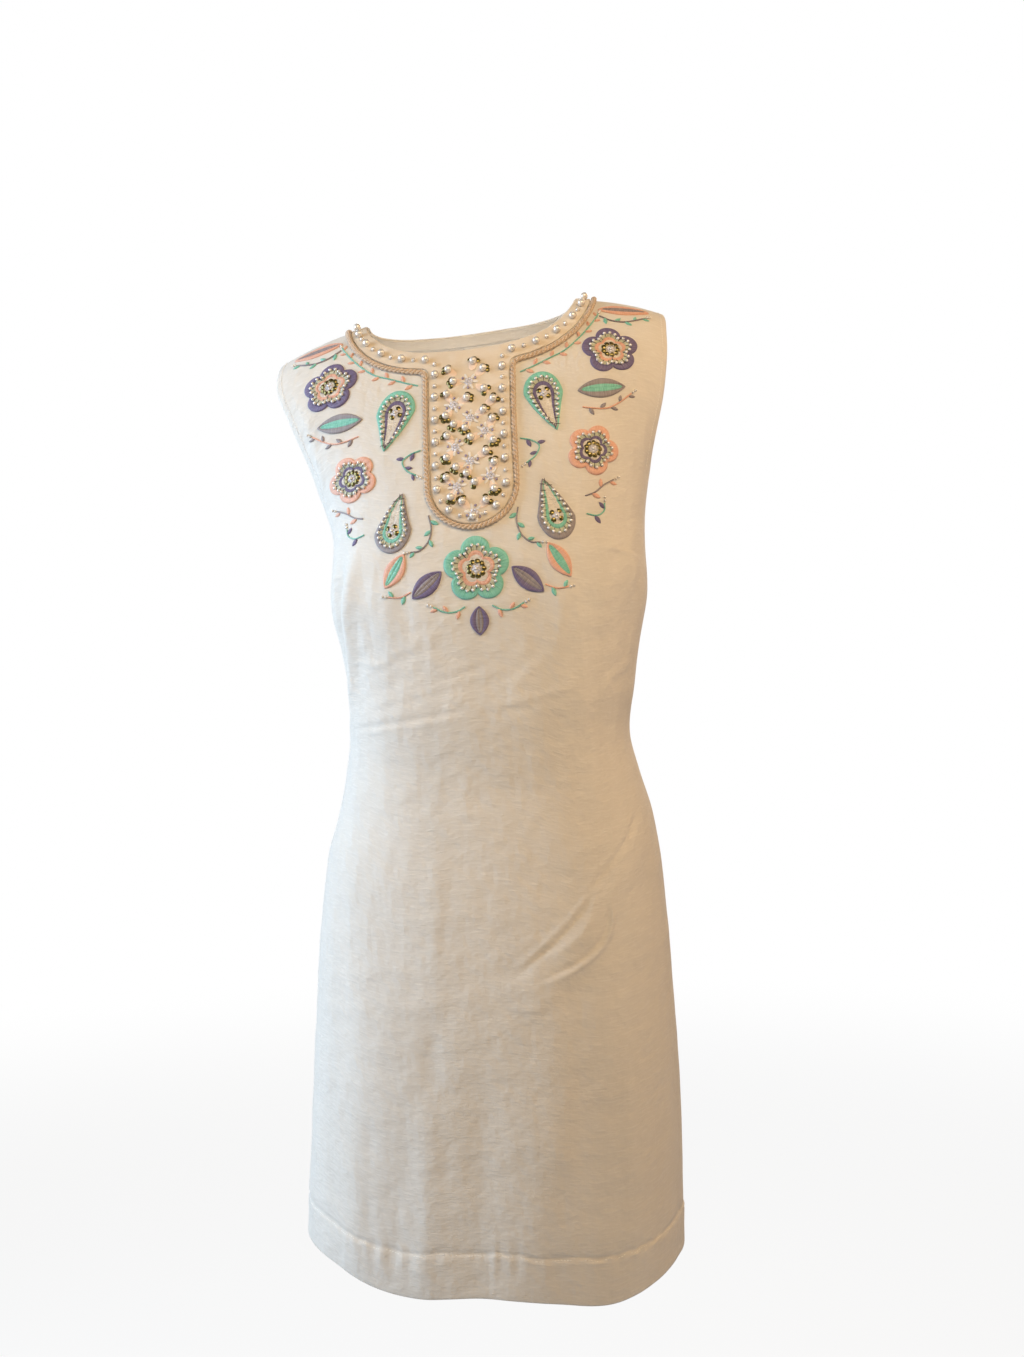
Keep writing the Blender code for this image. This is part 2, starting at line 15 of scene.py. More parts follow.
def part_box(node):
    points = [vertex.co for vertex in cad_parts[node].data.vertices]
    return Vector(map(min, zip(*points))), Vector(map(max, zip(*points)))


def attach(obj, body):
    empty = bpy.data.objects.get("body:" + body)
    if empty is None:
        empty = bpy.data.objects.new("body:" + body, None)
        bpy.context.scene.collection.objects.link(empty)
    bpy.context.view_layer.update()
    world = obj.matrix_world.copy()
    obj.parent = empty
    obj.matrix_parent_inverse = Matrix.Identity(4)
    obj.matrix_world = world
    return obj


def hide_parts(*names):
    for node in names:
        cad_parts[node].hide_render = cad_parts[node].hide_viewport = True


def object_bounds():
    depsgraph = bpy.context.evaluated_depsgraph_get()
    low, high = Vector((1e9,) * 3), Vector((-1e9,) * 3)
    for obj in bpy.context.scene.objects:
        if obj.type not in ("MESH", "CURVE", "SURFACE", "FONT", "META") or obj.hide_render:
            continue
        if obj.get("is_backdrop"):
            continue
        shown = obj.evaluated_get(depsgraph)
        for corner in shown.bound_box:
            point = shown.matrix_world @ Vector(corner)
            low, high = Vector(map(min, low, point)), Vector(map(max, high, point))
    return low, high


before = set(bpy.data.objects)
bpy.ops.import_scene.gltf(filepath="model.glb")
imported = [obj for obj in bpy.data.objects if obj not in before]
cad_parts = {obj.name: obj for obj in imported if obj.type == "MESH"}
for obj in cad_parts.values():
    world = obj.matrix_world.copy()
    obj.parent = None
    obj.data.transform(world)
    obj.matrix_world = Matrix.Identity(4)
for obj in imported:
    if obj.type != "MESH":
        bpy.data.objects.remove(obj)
cad_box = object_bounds()

# ---------------------------------------------------------------- front panel
# The front is one piece of ivory slub cotton, its weft running across the body. It hangs from
# the shoulder seams, with a short dart crease beside the left bust and a deep hem turned up.
MM = 0.001
CLOTH = 1.2
SEAM_GAP = 0.3
HEM_DEPTH = 37.0
NECK_HALF = 100.0
NECK_DEPTH = {"front": 95.0, "back": 38.0}
NECK_SQUARE = 2.8
NECK_SPREAD = 1.25
SHOULDER_DROP = 30.0
SHOULDER_POWER = 2.87
SHOULDER_TIP = 186.0
SHOULDER_TILT = 6.3
HEM_TILT = -1.1
TILT_TOP = -80.0
TILT_WAIST = -410.0
TILT_HEM = -900.0
SHIFT_TOP = -10.0
SHIFT_HEM = -3.0

SECTION_COLUMNS = (
    "level", "right", "left", "front", "back", "square_front", "square_back", "edge_right", "edge_left"
)
SECTIONS = (
    (7, 209, 209, 0, 0, 2.3, 2.3, 186, 186),
    (3, 209, 209, 21, 19, 2.3, 2.3, 186, 186),
    (-8, 210, 210, 41, 36, 2.3, 2.3, 187, 187),
    (-24, 210, 210, 58, 52, 2.3, 2.4, 187, 187),
    (-48, 205, 208, 73, 67, 2.3, 2.4, 184, 187),
    (-78, 192, 203, 86, 80, 2.3, 2.5, 175, 185),
    (-112, 174, 191, 97, 90, 2.3, 2.5, 164, 180),
    (-146, 158, 176.5, 108, 96, 2.4, 2.5, 154, 172.5),
    (-176, 147, 167, 116, 99, 2.4, 2.5, 147, 167),
    (-210, 141, 161, 123, 100, 2.5, 2.5, 141, 161),
    (-245, 144, 159, 129, 100, 2.6, 2.5, 144, 159),
    (-282, 146, 158, 132, 98, 2.6, 2.5, 146, 158),
    (-325, 139, 148, 130, 93, 2.5, 2.5, 139, 148),
    (-365, 135, 140.5, 126, 88, 2.4, 2.4, 135, 140.5),
    (-402, 134, 135, 123, 87, 2.3, 2.4, 134, 135),
    (-442, 138.5, 144, 122, 94, 2.3, 2.4, 138.5, 144),
    (-485, 148, 157, 125, 105, 2.3, 2.4, 148, 157),
    (-530, 159, 164.5, 130, 116, 2.3, 2.4, 159, 164.5),
    (-600, 166, 171, 137, 127, 2.3, 2.3, 166, 171),
    (-680, 171, 176, 142, 134, 2.3, 2.3, 171, 176),
    (-766, 176, 180.5, 146, 139, 2.2, 2.2, 176, 180.5),
    (-900, 182, 182, 148, 142, 2.2, 2.2, 182, 182),
)
TABLE = {name: np.array(values, float) for name, values in zip(SECTION_COLUMNS, zip(*SECTIONS))}
UNDERARM_ROW = 8
HEM_ROW = len(SECTIONS) - 1
HEM_LEVEL = TABLE["level"][-1]
STITCH_LEVEL = HEM_LEVEL + HEM_DEPTH

# the broad folds: turn is degrees round from the centre line, height how far each stands proud
ROUND_RADIUS = 150.0
RUN_OUT = 0.15
FADE = 0.4
SEAM_CALM = 9.2
FOLD_COLUMNS = ("turn_0", "level_0", "turn_1", "level_1", "width", "height")
FOLDS = {
    "front": (
        (-51, -236, -69, -385, 11, 4.5),
        (-62, -234, -80, -375, 11, -6.5),
        (-76, -398, 76, -386, 42, 4.6),
        (-78, -396, -20, -388, 13, 0.8),
        (-20, -386, 44, -358, 15, 0.8),
        (-44, -250, -46, -335, 8, -1.1),
        (-34, -256, -36, -330, 7, 0.9),
        (-27, -262, -27, -320, 6, -0.8),
        (-19, -290, -18, -345, 8, 0.8),
        (19, -262, 18, -325, 7, -0.8),
        (29, -256, 26, -335, 8, 1.1),
        (66, -268, 56, -246, 15, 2.5),
        (70, -290, 50, -310, 16, -1.5),
        (66, -492, 36, -560, 12, 1.7),
        (40, -556, 6, -640, 12, 1.8),
        (35, -588, 10, -655, 11, 1.7),
        (46, -565, 24, -640, 14, -1.3),
        (-40, -640, -44, -915, 20, 2.4),
        (-16, -535, -16, -655, 7, 0.8),
        (-17, -655, -17, -735, 9, -1.2),
        (-27, -640, -26, -740, 14, 1.1),
        (-27, -790, -26, -885, 11, -1.4),
        (-18, -715, -18, -905, 10, 2.4),
        (-3, -705, -3, -915, 18, -3.6),
        (14, -720, 14, -905, 13, 1.3),
        (-78, -914, 78, -914, 34, -2.8),
        (21, -640, 20, -800, 11, 1.3),
        (26, -650, 27, -820, 12, -0.9),
        (45, -720, 48, -915, 22, 2.2),
        (74, -700, 76, -915, 17, -1.8),
    ),
    "back": (
        (-58, -160, -62, -390, 15, 3.5),
        (62, -170, 60, -380, 15, 3.0),
        (-70, -455, -22, -430, 13, 2.4),
        (72, -445, 24, -420, 13, 2.6),
        (-55, -600, -62, -915, 20, 3.0),
        (-28, -640, -30, -915, 19, -2.6),
        (26, -560, 32, -915, 20, 2.8),
        (60, -660, 58, -915, 19, -2.4),
    ),
}

# the fine creases, each a bent line through three places; a dip runs beside each ridge
CREASE_COLUMNS = ("turn_0", "level_0", "turn_1", "level_1", "turn_2", "level_2", "width", "height")
CREASES = {
    "front": (
        (-78, -403, -34, -391, -2, -379, 2.4, -1.4),
        (-6, -381, 18, -371, 40, -358, 4.0, 0.7),
        (-68, -386, -22, -362, 16, -343, 3.6, 0.55),
        (-60, -352, -34, -330, -20, -308, 3.4, 0.45),
        (-52, -372, -20, -352, 8, -330, 3.0, 0.4),
        (-62, -334, -50, -337, -38, -339, 2.0, 1.1),
        (-36, -332, -22, -318, -6, -312, 5.5, 0.6),
        (31, -318, 18, -345, 6, -372, 5.5, 0.5),
        (67, -470, 49, -508, 30, -550, 2.4, -1.8),
        (35, -545, 24, -578, 5, -622, 2.4, -1.9),
        (40, -548, 37, -592, 10, -629, 2.4, 2.5),
        (34, -560, 27, -585, 14, -606, 2.8, 0.8),
        (4, -641, 11, -645, 19, -642, 2.8, 0.7),
        (-41, -662, -34, -665, -26, -662, 2.8, 0.6),
        (13, -712, 22, -697, 40, -688, 3.2, 0.8),
        (30, -744, 47, -738, 62, -750, 3.2, 0.7),
        (24, -742, 38, -750, 55, -757, 2.6, 0.5),
        (-19, -440, -17, -520, -19, -640, 8.0, 0.5),
        (-30, -610, -33, -720, -30, -820, 9.0, 0.7),
        (-5, -660, -8, -760, -3, -850, 9.0, 0.5),
        (-27, -820, -24, -842, -20, -858, 4.0, 1.0),
        (-34, -815, -35, -842, -32, -858, 4.0, 0.8),
        (72, -340, 56, -352, 44, -372, 4.5, 0.8),
        (50, -343, 54, -360, 58, -378, 1.8, -0.6),
        (70, -253, 58, -248, 47, -241, 2.0, 1.3),
        (60, -241, 50, -242, 42, -248, 4.5, 0.9),
        (-78, -253, -66, -249, -56, -243, 2.0, 1.1),
        (60, -120, 66, -150, 74, -176, 6.0, 0.9),
        (-58, -110, -64, -140, -72, -168, 6.0, 0.9),
        (-52, -60, -56, -96, -60, -128, 8.0, 0.7),
    ),
    "back": (
        (-66, -400, -20, -412, 30, -404, 4.0, 1.4),
        (-40, -446, -2, -436, 44, -444, 4.5, 1.1),
        (70, -370, 40, -388, 8, -384, 4.2, 1.0),
        (-74, -352, -50, -366, -24, -366, 4.0, 0.9),
        (-62, -505, -42, -530, -20, -575, 4.4, 1.0),
        (64, -500, 46, -540, 26, -590, 4.0, 1.2),
        (50, -112, 30, -96, 12, -92, 6.0, 0.8),
        (-54, -130, -34, -108, -14, -104, 6.0, 0.7),
        (-30, -700, -44, -716, -58, -706, 3.4, 0.6),
        (20, -736, 38, -726, 54, -738, 3.4, 0.6),
        (10, -640, 12, -740, 8, -840, 9.0, 0.6),
        (-44, -620, -46, -720, -43, -830, 9.0, 0.7),
    ),
}
CREASE_FADE = 0.3
CREASE_DIP = 0.6
CREASE_DIP_AWAY = 1.7

# the uneven hang of worn cloth, as waves that cross: each one's length, angle and height
SLACK_WAVES = ((61, 12, 0.22), (83, 78, 0.30), (37, 100, 0.14), (47, 40, 0.12), (29, 164, 0.08))
SLACK_WANDER = 1.3
SLACK_WANDER_LENGTH = 53.0

# the hem's pucker where its stitches draw the cloth in: each place, its spread and its strength
PUCKER = 0.75
PUCKER_SPREAD = 10.0
PUCKER_PLACES = {
    "front": (
        (-24, 32, 2.0),
        (3, 16, 1.2),
        (47, 24, 0.9),
    ),
    "back": (
        (-38, 26, 1.0),
        (34, 22, 1.0),
    ),
}
STITCH_DIP = 1.3
STITCH_RIDGE = 1.1
STITCH_SWAY = 1.0
HEM_STEP = 0.5

# the hem's swings, up and down: the place across, its spread and the rise there
HEM_SWINGS = ((-165, 52, 16.5), (-10, 45, 4.3), (106, 40, -8.8), (175, 22, 4.7))
SWING_BACK = 90.0

# a sewn edge rolls in towards its seam
ROLL = 0.45
ROLL_REACH = 1.0

# how closely the form is worked out, in steps round a side and down it
TURN_STEPS = 400
ROW_STEPS = 1260


def column(name, row):
    """A section column at a fractional row, on a smooth curve that runs level over the ridge."""
    values = TABLE[name]
    row = np.clip(np.asarray(row, float), 0.0, HEM_ROW)
    slopes = np.gradient(values)
    slopes[0] = values[1] if name in ("front", "back") else 0.0
    i = np.minimum(row.astype(int), HEM_ROW - 1)
    t = row - i
    return (
        values[i] * (2 * t**3 - 3 * t**2 + 1)
        + slopes[i] * (t**3 - 2 * t**2 + t)
        + values[i + 1] * (3 * t**2 - 2 * t**3)
        + slopes[i + 1] * (t**3 - t**2)
    )


def smooth(t):
    """A soft step from 0 to 1."""
    t = np.clip(t, 0.0, 1.0)
    return t * t * (3 - 2 * t)


def half_width(sign, row):
    return np.where(sign < 0, column("right", row), column("left", row))


def form(side, turn, row):
    """The plain form, before folds and tilt: turn runs from the centre to 90 degrees at a seam."""
    power = column("square_" + side, row)
    x = half_width(turn, row) * np.sin(turn)
    depth = np.maximum(1 - np.abs(np.sin(turn)) ** power, 0.0) ** (1 / power)
    y = column(side, row) * depth * (-1 if side == "front" else 1)
    fall = SHOULDER_DROP * (np.abs(x) / SHOULDER_TIP) ** SHOULDER_POWER
    z = column("level", row) - fall * (1 - smooth(row / UNDERARM_ROW))
    return np.stack([x, y, z], axis=-1)


def outward(side, points):
    """Outward unit normals of a grid of points whose rows run down and columns towards +X."""
    down, across = np.gradient(points, axis=0), np.gradient(points, axis=1)
    out = np.cross(down, across) * (1 if side == "front" else -1)
    return out / np.linalg.norm(out, axis=-1, keepdims=True)


def flat_place(line, k):
    """Place k of a fold or crease: its distance round from the centre line, and its level."""
    return np.array([math.radians(line[f"turn_{k}"]) * ROUND_RADIUS, line[f"level_{k}"]])


def broad_folds(side, flat):
    total = np.zeros(flat.shape[:-1])
    for row in FOLDS[side]:
        fold = dict(zip(FOLD_COLUMNS, row))
        start = flat_place(fold, 0)
        along = flat_place(fold, 1) - start
        length = np.linalg.norm(along)
        along = along / length
        t = ((flat - start) @ along) / length
        off = (flat - start) @ np.array([-along[1], along[0]])
        ends = smooth((t + RUN_OUT) / FADE) * smooth((1 + RUN_OUT - t) / FADE)
        total += fold["height"] * ends * np.exp(-((off / fold["width"]) ** 2))
    return total


def fine_creases(side, flat):
    total = np.zeros(flat.shape[:-1])
    t = np.linspace(0, 1, 17)[:, None]
    for row in CREASES[side]:
        crease = dict(zip(CREASE_COLUMNS, row))
        start, middle, end = (flat_place(crease, k) for k in (0, 1, 2))
        pull = 2 * middle - (start + end) / 2
        line = start * (1 - t) ** 2 + pull * 2 * t * (1 - t) + end * t**2
        reach = 4 * crease["width"]
        near = np.all((flat > line.min(axis=0) - reach) & (flat < line.max(axis=0) + reach), axis=-1)
        points = flat[near]
        best, place, beside = np.full(len(points), np.inf), np.zeros(len(points)), np.zeros(len(points))
        for k in range(len(line) - 1):
            a, ab = line[k], line[k + 1] - line[k]
            share = np.clip(((points - a) @ ab) / (ab @ ab), 0, 1)
            gap = points - a - share[:, None] * ab
            off = np.linalg.norm(gap, axis=1)
            closer = off < best
            best = np.where(closer, off, best)
            place = np.where(closer, (k + share) / (len(line) - 1), place)
            beside = np.where(closer, np.sign(ab[0] * gap[:, 1] - ab[1] * gap[:, 0]) * off, beside)
        fade = smooth(place / CREASE_FADE) * smooth((1 - place) / CREASE_FADE)
        ridge = np.exp(-((beside / crease["width"]) ** 2))
        dip = np.exp(-((beside / crease["width"] + CREASE_DIP_AWAY) ** 2))
        total[near] += crease["height"] * fade * (ridge - CREASE_DIP * dip)
    return total


def slack(flat):
    total = np.zeros(flat.shape[:-1])
    for length, angle, height in SLACK_WAVES:
        along = flat @ [math.cos(math.radians(angle)), math.sin(math.radians(angle))]
        wander = SLACK_WANDER * np.sin(along / SLACK_WANDER_LENGTH + angle)
        total += height * np.sin(math.tau * along / length + wander)
    return total


def wavering(around, length, swing, swing_length):
    """A wave on the way round that runs ahead and falls behind by turns."""
    return np.sin(around / length + swing * np.sin(around / swing_length))


def stitch_level(around):
    """The level of the hem's stitches, which sway a little on their way round."""
    sway = wavering(around, 13, 2, 31) + 0.7 * wavering(around, 4.1, 3, 17)
    return STITCH_LEVEL + STITCH_SWAY * sway


def hem_pucker(side, flat):
    """The turned hem stands a little proud below its stitches, which draw it in and pucker it."""
    around, level = flat[..., 0], flat[..., 1]
    strength = 0.3 + sum(
        most * np.exp(-(((around - math.radians(turn) * ROUND_RADIUS) / spread) ** 2))
        for turn, spread, most in PUCKER_PLACES[side]
    )
    wave = np.sin(math.tau * around / 14 + 2.6 * np.sin(around / 19)) * (0.7 + 0.3 * np.sin(around / 23))
    wave += 0.5 * np.sin(math.tau * around / 31 + 1.1) + 0.3 * wavering(around, 1.7, 3, 9)
    off = level - stitch_level(around)
    fade = np.exp(-((off / np.where(off < 0, 1.8 * PUCKER_SPREAD, PUCKER_SPREAD)) ** 2))
    broken = np.clip(0.6 + 0.8 * wavering(around, 6.3, 2.5, 21) * np.cos(around / 37), 0.1, 1.3)
    ridge = STITCH_RIDGE * broken * np.exp(-((off / 1.2) ** 2))
    dip = STITCH_DIP * np.exp(-(((off - 3.4) / 2.4) ** 2))
    return PUCKER * strength * wave * fade + ridge - dip + HEM_STEP * smooth(-off / 3)


def hang(points):
    """The tilt of the shoulders and hem, and the sideways shift of the bodice."""
    x, y, z = points[..., 0], points[..., 1], points[..., 2]
    top = smooth((z - TILT_WAIST) / (TILT_TOP - TILT_WAIST))
    low = np.clip((TILT_WAIST - z) / (TILT_WAIST - TILT_HEM), 0.0, 1.1)
    rise = math.tan(math.radians(SHOULDER_TILT)) * top + math.tan(math.radians(HEM_TILT)) * low
    swing = sum(height * np.exp(-(((x - across) / spread) ** 2)) for across, spread, height in HEM_SWINGS)
    swing = swing * low**2 * smooth((SWING_BACK - y) / SWING_BACK)
    return np.stack([x + SHIFT_TOP * top + SHIFT_HEM * low, y, z + x * rise + swing], axis=-1)


CLOTH_GRID = {}
for side in ("front", "back"):
    turns = np.linspace(-math.pi / 2, math.pi / 2, TURN_STEPS + 1)
    turns, rows = np.meshgrid(turns, np.linspace(0, HEM_ROW, ROW_STEPS + 1))
    plain = form(side, turns, rows)
    flat = np.stack([turns * ROUND_RADIUS, plain[..., 2]], axis=-1)
    calm = smooth((math.pi / 2 - np.abs(turns)) / math.radians(SEAM_CALM))
    relief = (broad_folds(side, flat) + fine_creases(side, flat)) * calm
    relief += slack(flat) * calm * smooth(rows / 2) + hem_pucker(side, flat)
    points = hang(plain + outward(side, plain) * relief[..., None])
    CLOTH_GRID[side] = (points, outward(side, points))


def on_cloth(side, turn, row, lift=0.0):
    """Points of the cloth's outer face, moved out by lift, and the outward normals there."""
    points, normals = CLOTH_GRID[side]
    u = np.clip((np.asarray(turn) / math.pi + 0.5) * TURN_STEPS, 0, TURN_STEPS - 1e-6)
    v = np.clip(np.asarray(row) / HEM_ROW * ROW_STEPS, 0, ROW_STEPS - 1e-6)
    i, j = v.astype(int), u.astype(int)
    s, t = (u - j)[..., None], (v - i)[..., None]
    blend = []
    for grid in (points, normals):
        above = grid[i, j] * (1 - s) + grid[i, j + 1] * s
        below = grid[i + 1, j] * (1 - s) + grid[i + 1, j + 1] * s
        blend.append(above * (1 - t) + below * t)
    normal = blend[1] / np.linalg.norm(blend[1], axis=-1, keepdims=True)
    return blend[0] + normal * np.asarray(lift)[..., None], normal


def lengths_along(line):
    """How far along a line each of its points lies."""
    return np.concatenate([[0.0], np.cumsum(np.linalg.norm(np.diff(line, axis=0), axis=1))])


# distance down the centre line from the ridge, at closely spaced rows as far as the waist
DOWN_ROWS = np.linspace(0, UNDERARM_ROW + 6, 1401)
DOWN = {}
for side in ("front", "back"):
    DOWN[side] = lengths_along(form(side, np.zeros(len(DOWN_ROWS)), DOWN_ROWS))


def turn_row(side, places):
    """Turn and row of places (across, down), where down runs along the centre from the ridge."""
    places = np.asarray(places, float)
    row = np.interp(places[..., 1], DOWN[side], DOWN_ROWS)
    return np.arcsin(np.clip(places[..., 0] / half_width(places[..., 0], row), -1, 1)), row


def neckline(side, extra=0.0):
    """Half of the neckline, or of a curve outside it, as close points from the centre."""
    turn = np.linspace(0, math.pi / 2, 400)
    across = (NECK_HALF + extra) * np.sin(turn) ** (2 / NECK_SQUARE)
    down = (NECK_DEPTH[side] + NECK_SPREAD * extra) * np.cos(turn) ** (2 / NECK_SQUARE)
    return np.stack([across, down], axis=-1)


def along_line(line, shares):
    """Points at given shares of a line's length, judged by its first two columns."""
    along = lengths_along(line[:, :2])
    at = np.asarray(shares) * along[-1]
    return np.stack([np.interp(at, along, line[:, k]) for k in range(line.shape[1])], axis=-1)


def line_length(line):
    return np.linalg.norm(np.diff(line[:, :2], axis=0), axis=1).sum()


def spaced(stops, steps):
    """Values from the first stop up to the last, with a number of even steps between each two."""
    spans = [np.linspace(*span, endpoint=False) for span in zip(stops, stops[1:], steps)]
    return np.concatenate(spans)


# the levels down a panel below the underarm, closest where the creases and the hem's stitches are
STOPS = (TABLE["level"][UNDERARM_ROW], -236, -258, -330, -440, -545, -665)
STOPS += (STITCH_LEVEL + 6, STITCH_LEVEL - 5, HEM_LEVEL + 2, HEM_LEVEL)
PANEL_LEVELS = np.append(spaced(STOPS, (11, 10, 14, 41, 27, 45, 28, 11, 8, 3)), HEM_LEVEL)[1:]

# the steps down the bodice: the first ones close together, where the top edges roll in
BODICE_ROWS = 47
BODICE_STEPS = np.concatenate([[0, 0.1, 0.25, 0.5], np.arange(1, BODICE_ROWS + 1)]) / BODICE_ROWS
UNDERARM_AT = len(BODICE_STEPS) - 1
BODICE_EASE = 1.6


def panel_lay(side, shares, neck_share):
    """Turn and row of a panel's grid: shares run across it, rows run from its top to the hem."""
    sign = np.where(shares < 0, -1.0, 1.0)
    at_neck = along_line(neckline(side), np.clip(np.abs(shares) / neck_share, 0, 1))
    outwards = np.clip((np.abs(shares) - neck_share) / (1 - neck_share), 0, 1)
    at_shoulder = NECK_HALF + (SHOULDER_TIP - NECK_HALF) * outwards
    neck = np.abs(shares) < neck_share
    top_across = np.where(neck, at_neck[:, 0], at_shoulder) * sign
    top = np.stack([top_across, np.where(neck, at_neck[:, 1], 0)], axis=-1)
    top_turn, top_row = turn_row(side, top)

    def edge_turn(row):
        edge = np.where(sign < 0, column("edge_right", row), column("edge_left", row))
        return np.arcsin(np.clip(edge / half_width(sign, row), 0, 1))

    bodice = 1 - (1 - BODICE_STEPS[:, None]) ** BODICE_EASE
    row_high = top_row + (UNDERARM_ROW - top_row) * bodice
    start = top_turn / edge_turn(top_row)
    turn_high = (start + (shares - start) * bodice) * edge_turn(row_high)
    turn_high[-1] = shares * math.pi / 2
    low = np.interp(-PANEL_LEVELS, -TABLE["level"], np.arange(len(SECTIONS)))[:, None]
    row_low = np.repeat(low, len(shares), axis=1)
    turn_low = np.repeat(shares[None, :] * math.pi / 2, len(low), axis=0)
    return np.vstack([turn_high, turn_low]), np.vstack([row_high, row_low])


def grid_lengths(points):
    """How far across and how far down its grid each point lies, along the grid's own lines."""
    across = np.linalg.norm(np.diff(points, axis=1, prepend=points[:, :1]), axis=-1)
    down = np.linalg.norm(np.diff(points, axis=0, prepend=points[:1]), axis=-1)
    return np.cumsum(across, axis=1), np.cumsum(down, axis=0)


def flat_lay(points):
    """Each point's place on the flat cloth, in metres: across the weft and down the warp."""
    across, down = grid_lengths(points)
    middle = points.shape[1] // 2
    across -= across[:, middle : middle + 1]
    return np.stack([across, down[-1:, :] - down], axis=-1) * MM


def rolled_in(points):
    """How far each point of a panel's grid is drawn in beside the panel's sewn or turned edges."""
    across, down = grid_lengths(points)
    near = np.minimum.reduce([across, across[:, -1:] - across, down, down[-1:] - down])
    return -ROLL * np.exp(-((near / ROLL_REACH) ** 2))


def cut(points):
    """The size that a sheet laid on a grid of points was cut to: width, length and area, in metres."""
    across, down = (np.linalg.norm(np.diff(points, axis=k), axis=-1) for k in (1, 0))
    area = ((across[1:] + across[:-1]) / 2 * (down[:, 1:] + down[:, :-1]) / 2).sum()
    return (across.sum(axis=1).max() * MM, down.sum(axis=0).max() * MM), area * MM * MM


def lay_grid(points, lay, inward=False, threads=None):
    """A grid mesh laid on points, rows from the top, with each point's place on the flat cloth as UV.

    threads gives the material of the faces below each row.
    """
    rows, columns = points.shape[:2]
    bm = bmesh.new()
    bmesh.ops.create_grid(bm, x_segments=columns - 1, y_segments=rows - 1, size=1.0)
    order = sorted(bm.verts, key=lambda vert: (-round(vert.co.y, 5), vert.co.x))
    places = (points.reshape(-1, 3) * MM).tolist()
    lays = lay.reshape(-1, 2).tolist()
    uv = bm.loops.layers.uv.new("cut")
    for k, vert in enumerate(order):
        vert.index = k
        vert.co = places[k]
        for loop in vert.link_loops:
            loop[uv].uv = lays[k]
    for face in bm.faces if threads else ():
        face.material_index = threads[min(vert.index for vert in face.verts) // columns]
    if inward:
        bmesh.ops.reverse_faces(bm, faces=bm.faces[:])
    return bm


def mesh_of(name, bm):
    """The mesh of a bmesh, which is used up."""
    mesh = bpy.data.meshes.new(name)
    bm.to_mesh(mesh)
    bm.free()
    return mesh


def show(name, bm, *materials, smooth_to=60):
    """The finished object of a mesh, shaded smooth, riding on the dress."""
    mesh = mesh_of(name, bm)
    mesh.shade_smooth()
    mesh.set_sharp_from_angle(angle=math.radians(smooth_to))
    for material in materials:
        mesh.materials.append(material)
    piece = bpy.data.objects.new(name, mesh)
    bpy.context.scene.collection.objects.link(piece)
    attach(piece, "root")
    return piece


def wall(piece, thick):
    """Gives a sheet its thickness, inwards from its face."""
    solid = piece.modifiers.new("wall", "SOLIDIFY")
    solid.thickness = thick * MM
    solid.offset = -1.0
    solid.use_even_offset = True


def put(tree, kind, settings=None, **inputs):
    """A shader node, with each input given as a value or as the socket that feeds it."""
    made = tree.nodes.new("ShaderNode" + kind)
    for name, value in (settings or {}).items():
        setattr(made, name, value)
    for name, value in inputs.items():
        socket = made.inputs[int(name[1:])] if name[0] == "i" and name[1:].isdigit() else made.inputs[name]
        if isinstance(value, bpy.types.NodeSocket):
            tree.links.new(value, socket)
        else:
            socket.default_value = value
    return made


def scaled_uv(tree, across, down):
    place = put(tree, "TexCoord").outputs["UV"]
    return put(tree, "Mapping", Vector=place, Scale=(across, down, 1.0)).outputs["Vector"]


def maths(tree, operation, first, second, clamp=False):
    return put(tree, "Math", {"operation": operation, "use_clamp": clamp}, i0=first, i1=second).outputs[0]


def weighed(tree, *parts, clamp=False):
    """The sum of several values, each times its weight."""
    terms = [maths(tree, "MULTIPLY", value, weight) for value, weight in parts]
    so_far = terms[0]
    for k, term in enumerate(terms[1:], 2):
        so_far = maths(tree, "ADD", so_far, term, clamp and k == len(terms))
    return so_far


def new_group(name, inputs, outputs):
    """A shader node group with named sockets: inputs as (name, default), outputs as names."""
    group = bpy.data.node_groups.new(name, "ShaderNodeTree")
    for label, value in inputs:
        socket = group.interface.new_socket(label, in_out="INPUT", socket_type="NodeSocketFloat")
        socket.default_value = value
    for label in outputs:
        group.interface.new_socket(label, in_out="OUTPUT", socket_type="NodeSocketFloat")
    return group, group.nodes.new("NodeGroupInput").outputs, group.nodes.new("NodeGroupOutput").inputs


